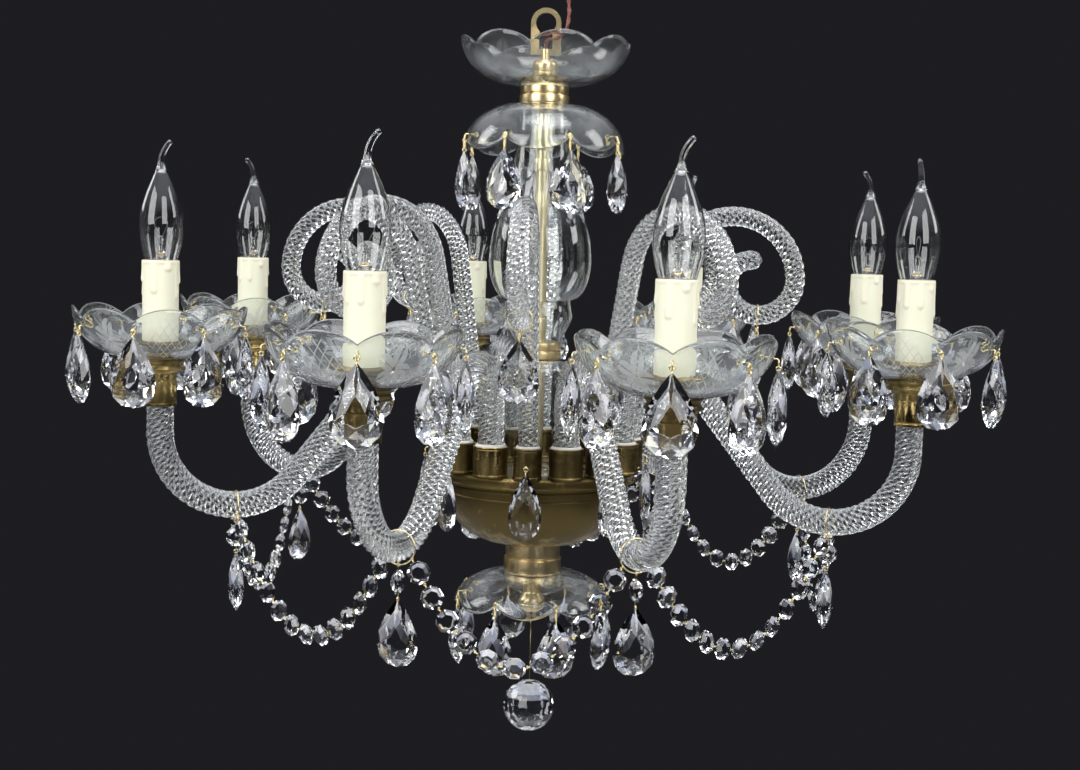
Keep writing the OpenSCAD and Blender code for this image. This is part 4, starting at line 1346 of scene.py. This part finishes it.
nut = scaled([
    (0, 0), (5, 0, 1), (9.5, 3, 2), (11, 6, 1), (11, 7.5, 0.3), (10.2, 8.2, 0.3), (11, 9, 0.3),
    (11, 12, 2), (7, 18, 1), (7, 27, 0.5), (11, 28, 0.4), (11, 30, 0.2), (6.1, 30), (6.1, 5),
    (0, 5),
])
finial_eye = turned("eye", scaled([(1.6, -1.5), (4.5, -1.5, 0.6), (4.5, 1.5, 0.6), (1.6, 1.5)]), 32)
finial_eye.transform(Matrix.Rotation(math.pi / 2, 4, "X"))
finial_z = high("finial_nut")[2] - 30 * MM
nut = joined(at_height(turned("nut", nut), finial_z), at_height(finial_eye, finial_z - 2 * MM))
wear("finial_nut_turned", nut, polished_brass, "finial_nut")
print("stem pieces turned")

# %% Turn the hub
PLATE_Z = low("arm_plate")[2]
PLATE_H = PLATE_TOP - PLATE_Z
CUP_H = CUP_TOP - PLATE_TOP
CUP_WALL, PLASTER_T = 1.5 * MM, 1.6 * MM

r, h = 86, PLATE_H / MM
plate = scaled([
    (BORE / MM, h), (r - 2, h, 1.2), (r, h - 2, 0.8), (r, h - 4, 0.3), (r - 1, h - 4.6, 0.3),
    (r - 1, 2, 0.3), (r, 1.5, 0.4), (r, 0, 0.4), (r - 10, 0), (r - 10, h - 4), (BORE / MM, h - 4),
])
plate = at_height(turned("plate", plate, 128), PLATE_Z)


def cup(inside):
    """An open cup with a rolled lip and a foot ring."""
    bore, r, h = inside / MM, (inside + CUP_WALL) / MM, CUP_H / MM
    return turned("cup", scaled([
        (bore, 0.1), (r + 0.6, 0.1, 0.4), (r + 0.6, 1.6, 0.5), (r, 2.2, 0.3), (r, h - 2.6, 0.3),
        (r + 0.5, h - 2, 0.5), (r + 0.5, h, 0.6), (bore, h),
    ]), 48)


def lifted(places, height):
    return [place @ raised(height) for place in places]


def plaster_lip(inside):
    """Set plaster, slightly domed between the cup's edge and the glass."""
    bore, r, h = inside / MM, (inside + PLASTER_T) / MM, CUP_H / MM
    return turned("lip", scaled([
        (bore, 0), (r, 0), (r, h), (r - 0.5, h + 1.4, 0.5), (bore + 0.5, h + 2, 0.4),
        (bore, h + 1.4),
    ]), 48)


candle_places, scroll_places = lifted(at_arm, PLATE_TOP), lifted(at_scroll, PLATE_TOP)
cups = joined(
    plate,
    copies(cup(ARM_R + PLASTER_T), candle_places, antique_brass),
    copies(cup(SCROLL_R + PLASTER_T), scroll_places, antique_brass),
)
wear("plate_and_cups", cups, antique_brass, "arm_plate")
lips = joined(
    copies(plaster_lip(ARM_R + 0.05 * MM), candle_places, plaster),
    copies(plaster_lip(SCROLL_R + 0.05 * MM), scroll_places, plaster),
)
wear("plaster_lips", lips, plaster, "plaster_seats")

HUB_R, HUB_FOOT, HUB_WALL = high("hub_bowl")[0], 28 * MM, 2.5 * MM
HUB_H = high("hub_bowl")[2] - low("hub_bowl")[2]


def hub_curve(radius, depth, steps=24):
    for i in range(steps + 1):
        a = math.pi / 2 * i / steps
        yield HUB_FOOT + (radius - HUB_FOOT) * math.cos(a), -depth * math.sin(a)


outside = list(hub_curve(HUB_R, HUB_H))
grooved = [(HUB_R, 0)]
for depth in (2.5, 9.5):
    r = HUB_FOOT + (HUB_R - HUB_FOOT) * math.sqrt(1 - (depth * MM / HUB_H) ** 2)
    grooved += [(r, -(depth - 0.9) * MM, 0.3 * MM), (r - 1.1 * MM, -depth * MM, 0.3 * MM),
                (r - 0.2 * MM, -(depth + 0.9) * MM, 0.3 * MM)]
grooved += [point for point in outside if point[1] < -11.5 * MM]
inside = list(hub_curve(HUB_R - HUB_WALL, HUB_H - HUB_WALL))
hub = grooved + [(BORE, -HUB_H), (BORE, -HUB_H + HUB_WALL)] + inside[::-1]
wear("hub_spun", at_height(turned("hub", hub, 128), PLATE_Z), antique_brass, "hub_bowl")
print("hub turned")

# %% [markdown]
# ## Blown glass of the stem
# The baluster and the column are thin shells. Crests and waists are joined by half a cosine wave,
# which keeps the wall upright where the blower's tool touched it. Only the belly closes below in a
# round quarter turn, down to the crease over the lower ring.


# %% Blow the baluster and the column
def eased(stations, full=(), steps=14):
    """Outline through (height, radius) stations, level at each; `full` spans are quarter turns."""
    points = []
    for span, ((z0, r0), (z1, r1)) in enumerate(zip(stations, stations[1:])):
        for i in range(steps):
            f = i / steps
            if span in full:
                f = math.sin(math.pi / 2 * f)
                share = 1 - math.sqrt(1 - f * f)
            else:
                share = (1 - math.cos(math.pi * f)) / 2
            points.append((r0 + (r1 - r0) * share, z0 + (z1 - z0) * f))
    return points + [(stations[-1][1], stations[-1][0])]


VESSEL_WALL = 1.6 * MM
length = baluster_high - baluster_low
shape = [(0, 22), (0.12, 22.5), (0.645, 43.5), (0.82, 26.5), (0.89, 28.3), (1, 20)]
outer = eased([(baluster_high - share * length, r * MM) for share, r in shape], full=[2])
inner = [(r - VESSEL_WALL, z) for r, z in outer[::-1]]
wear("baluster_glass", turned("baluster", outer + inner, 96, 60), blown_glass, "baluster")

r, h = high("glass_column")[0] / MM, tall("glass_column") / MM
neck, wall = (TUBE_R + SLIP) / MM, VESSEL_WALL / MM
column = scaled([
    (r - wall, 0), (r, 0, 1), (r, h - 6, 5), (r - 6, h, 4), (neck, h), (neck, h - wall),
    (r - 7, h - wall, 3), (r - wall, h - 7, 4),
])
column = at_height(turned("column", column, 96, 60), PLATE_TOP)
wear("column_glass", column, blown_glass, "glass_column")
print("baluster", round(length / MM), "mm, column", round(h), "mm")

# %% [markdown]
# ## Candles
# Each arm ends in a ferrule with a gallery, then the pan, the holder's boss and disc, the sleeve
# and the bulb. They are the same eight times, so each is made once and copied.

# %% Turn the ferrules and the holders
FERRULE_Z = low("ferrules")[2]
SLEEVE_Z, SLEEVE_TOP = low("candle_sleeves")[2], high("candle_sleeves")[2]
SLEEVE_H = SLEEVE_TOP - SLEEVE_Z


def on_candles(height):
    return lifted(at_candle, height)


ferrule = scaled([
    (10.85, 0), (12.75, 0, 0.3), (12.75, 2.2, 0.3), (12.1, 2.8, 0.2), (12.75, 3.4, 0.3),
    (12.75, 20, 0.4), (12.1, 20.6, 0.3), (12.75, 21.4, 0.3), (12.75, 26, 1), (14.75, 28, 0.4),
    (19, 28, 0.5), (20, 29.5, 0.7), (18, 31.5, 0.6), (18, 33, 0.6), (20, 35.6, 0.8),
    (20, 37, 0.4), (5, 37), (5, 12), (10.85, 12),
])
ferrule = copies(turned("ferrule", ferrule), on_candles(FERRULE_Z), antique_brass)
wear("ferrules_turned", ferrule, antique_brass, "ferrules")

stud_low = (low("lamp_holders")[2] - SLEEVE_Z) / MM
boss = (PAN_Z + WALL + SLIP - SLEEVE_Z) / MM
top, socket = SLEEVE_H / MM - 3, SLEEVE_H / MM - 24.3
holder = scaled([
    (0, stud_low), (4.9, stud_low), (4.9, boss), (10, boss, 0.4), (9, -3, 0.3), (22, -3, 0.8),
    (23, -1.5, 0.8), (22.4, 0, 0.6), (13.2, 0), (13.2, top, 0.5), (7.3, top), (7.3, socket),
    (0, socket),
])
holders = copies(turned("holder", holder), on_candles(SLEEVE_Z), antique_brass)
wear("holders_turned", holders, antique_brass, "lamp_holders")
print("ferrules and holders", 2 * COUNT)


# %% Drip the wax
def drip(angle, depth, at, wide, long):
    """How far a run of wax stands out at this angle and depth below the rim, 0 to 1."""
    aside = abs((angle - at + 180) % 360 - 180) / wide
    past = max(depth - long, 0) / 0.04
    inside = 1 - aside**2 - past**2
    return math.sqrt(inside) * (0.55 + 0.45 * min(depth / long, 1) ** 3) if inside > 0 else 0


DRIPS = [(15, 10, 0.30), (58, 13, 0.10), (92, 10, 0.40), (120, 9, 0.22), (180, 12, 0.36),
         (226, 14, 0.09), (262, 10, 0.42), (290, 9, 0.24), (330, 11, 0.30)]
SKIN_R, WAX_T, SLEEVE_BORE_R = 13.9 * MM, 1.1 * MM, 13.3 * MM


def sleeve(steps=180, rows=60):
    points, faces = [], []
    for i in range(rows + 1):
        depth = 1 - i / rows
        for j in range(steps):
            angle = 360 * j / steps
            wax = max(drip(angle, depth, *d) for d in DRIPS)
            wax = max(wax, math.sqrt(max(1 - (depth / 0.05) ** 2, 0)) * 0.55)
            edge = min(depth / 0.012, 1)
            r = SKIN_R + WAX_T * wax - (1 - edge) * 0.4 * MM
            points.append(polar(r, math.radians(angle), SLEEVE_H * (1 - depth)))
    for z in (SLEEVE_H, 0):
        points += [polar(SLEEVE_BORE_R, 2 * math.pi * j / steps, z) for j in range(steps)]
    for i in range(rows + 3):
        for j in range(steps):
            k = (j + 1) % steps
            up = (i + 1) % (rows + 3)
            faces.append((i * steps + j, i * steps + k, up * steps + k, up * steps + j))
    return new_mesh("sleeve", points, faces, crease=50)


sleeves = copies(sleeve(), [
    place @ Matrix.Rotation(2.4 * k, 4, "Z") for k, place in enumerate(on_candles(SLEEVE_Z))
], ivory)
wear("wax_sleeves", sleeves, ivory, "candle_sleeves")
print("faces of the sleeves", len(sleeves.polygons))

# %% Blow the bulbs
BULB_R, BULB_H, BULB_BASE_R, BULB_TIP_R = 17.5 * MM, 74 * MM, 12.5 * MM, 2.6 * MM
BULB_WIDEST = 0.36
TIP_BEND_R, TIP_BEND = 23 * MM, math.radians(46)
TIP = BULB_H + TIP_BEND_R * TIP_BEND


def bent_tip(mesh):
    """Everything above the body's top follows the bend of the tip."""
    for vertex in mesh.vertices:
        if vertex.co.z > BULB_H:
            a, r = (vertex.co.z - BULB_H) / TIP_BEND_R, TIP_BEND_R - vertex.co.x
            vertex.co.x, vertex.co.z = TIP_BEND_R - r * math.cos(a), BULB_H + r * math.sin(a)
    return mesh


body = [
    (BULB_BASE_R + (BULB_R - BULB_BASE_R) * math.sin(math.pi / 2 * f), BULB_WIDEST * BULB_H * f)
    for f in (i / 10 for i in range(10))
]
for i in range(19):
    f = i / 18
    body.append((BULB_TIP_R + (BULB_R - BULB_TIP_R) * (1 - f * f) ** 1.25,
                 BULB_H * (BULB_WIDEST + (1 - BULB_WIDEST) * f)))
tail = [(2.4 * MM - 0.5 * MM * i / 8, BULB_H + (TIP - BULB_H) * i / 8) for i in range(1, 9)]
tail += [(2.2 * MM, TIP + 0.6 * MM), (1.5 * MM, TIP + 1.8 * MM), (0, TIP + 2.2 * MM)]
inner = [(0, 0.95 * BULB_H)] + [(r - 0.4 * MM, z) for r, z in body[::-1] if z < 0.93 * BULB_H]
envelope = bent_tip(turned("envelope", body + tail + inner, 40, 60))
stem_glass = turned("stem", scaled([
    (0, 0.5), (7, 0.5), (5, 2), (3, 5), (2.2, 9), (1.8, 15), (2.4, 17, 0.5), (1.6, 18.5, 0.5),
    (0, 19),
]), 24, 60)
cap = turned("cap", scaled([
    (0, -24), (6, -24), (7, -21), (7, -1), (8.2, -0.2), (8.2, 0.2), (0, 0.2),
]))
bulbs = [place @ spoke(turn) for place, turn in zip(on_candles(SLEEVE_TOP), BULB_SET)]
wear("bulb_envelopes", joined(
    copies(envelope, bulbs, bulb_glass), copies(stem_glass, bulbs, bulb_glass)
), bulb_glass, "bulbs")
wear("bulb_caps", copies(cap, bulbs, polished_brass), polished_brass, "bulbs")
posts = [
    [Vector((s * 1.2, 0, 18)) * MM, Vector((s * 5.5, 0, 27)) * MM, Vector((s * 6, 0, 30)) * MM]
    for s in (-1, 1)
]
filament = [
    Vector((12 * f - 6, 0.5 * (-1) ** round(24 * f), 30 + 3.5 * math.sin(math.pi * f))) * MM
    for f in (i / 24 for i in range(25))
]
FILAMENT_R = 0.16 * MM
inside = rope(
    [*posts, filament], Radius=FILAMENT_R, Ribs=2, Groove=0.0, Step=0.0008, Finish=tungsten
)
wear("bulb_wires", copies(inside, bulbs, tungsten), tungsten, "bulbs")
print("bulbs", len(bulbs))

# %% [markdown]
# ## The box of the dressed model
# The corners of every shown piece but the floor give its box.

# %% Measure the box of the dressed model
bpy.context.view_layer.update()
corners = [
    piece.matrix_world @ Vector(corner)
    for piece in bpy.data.objects
    if piece.type == "MESH" and not piece.hide_render and piece is not floor
    for corner in piece.bound_box
]
visual_box = [[f(c[i] for c in corners) for i in range(3)] for f in (min, max)]
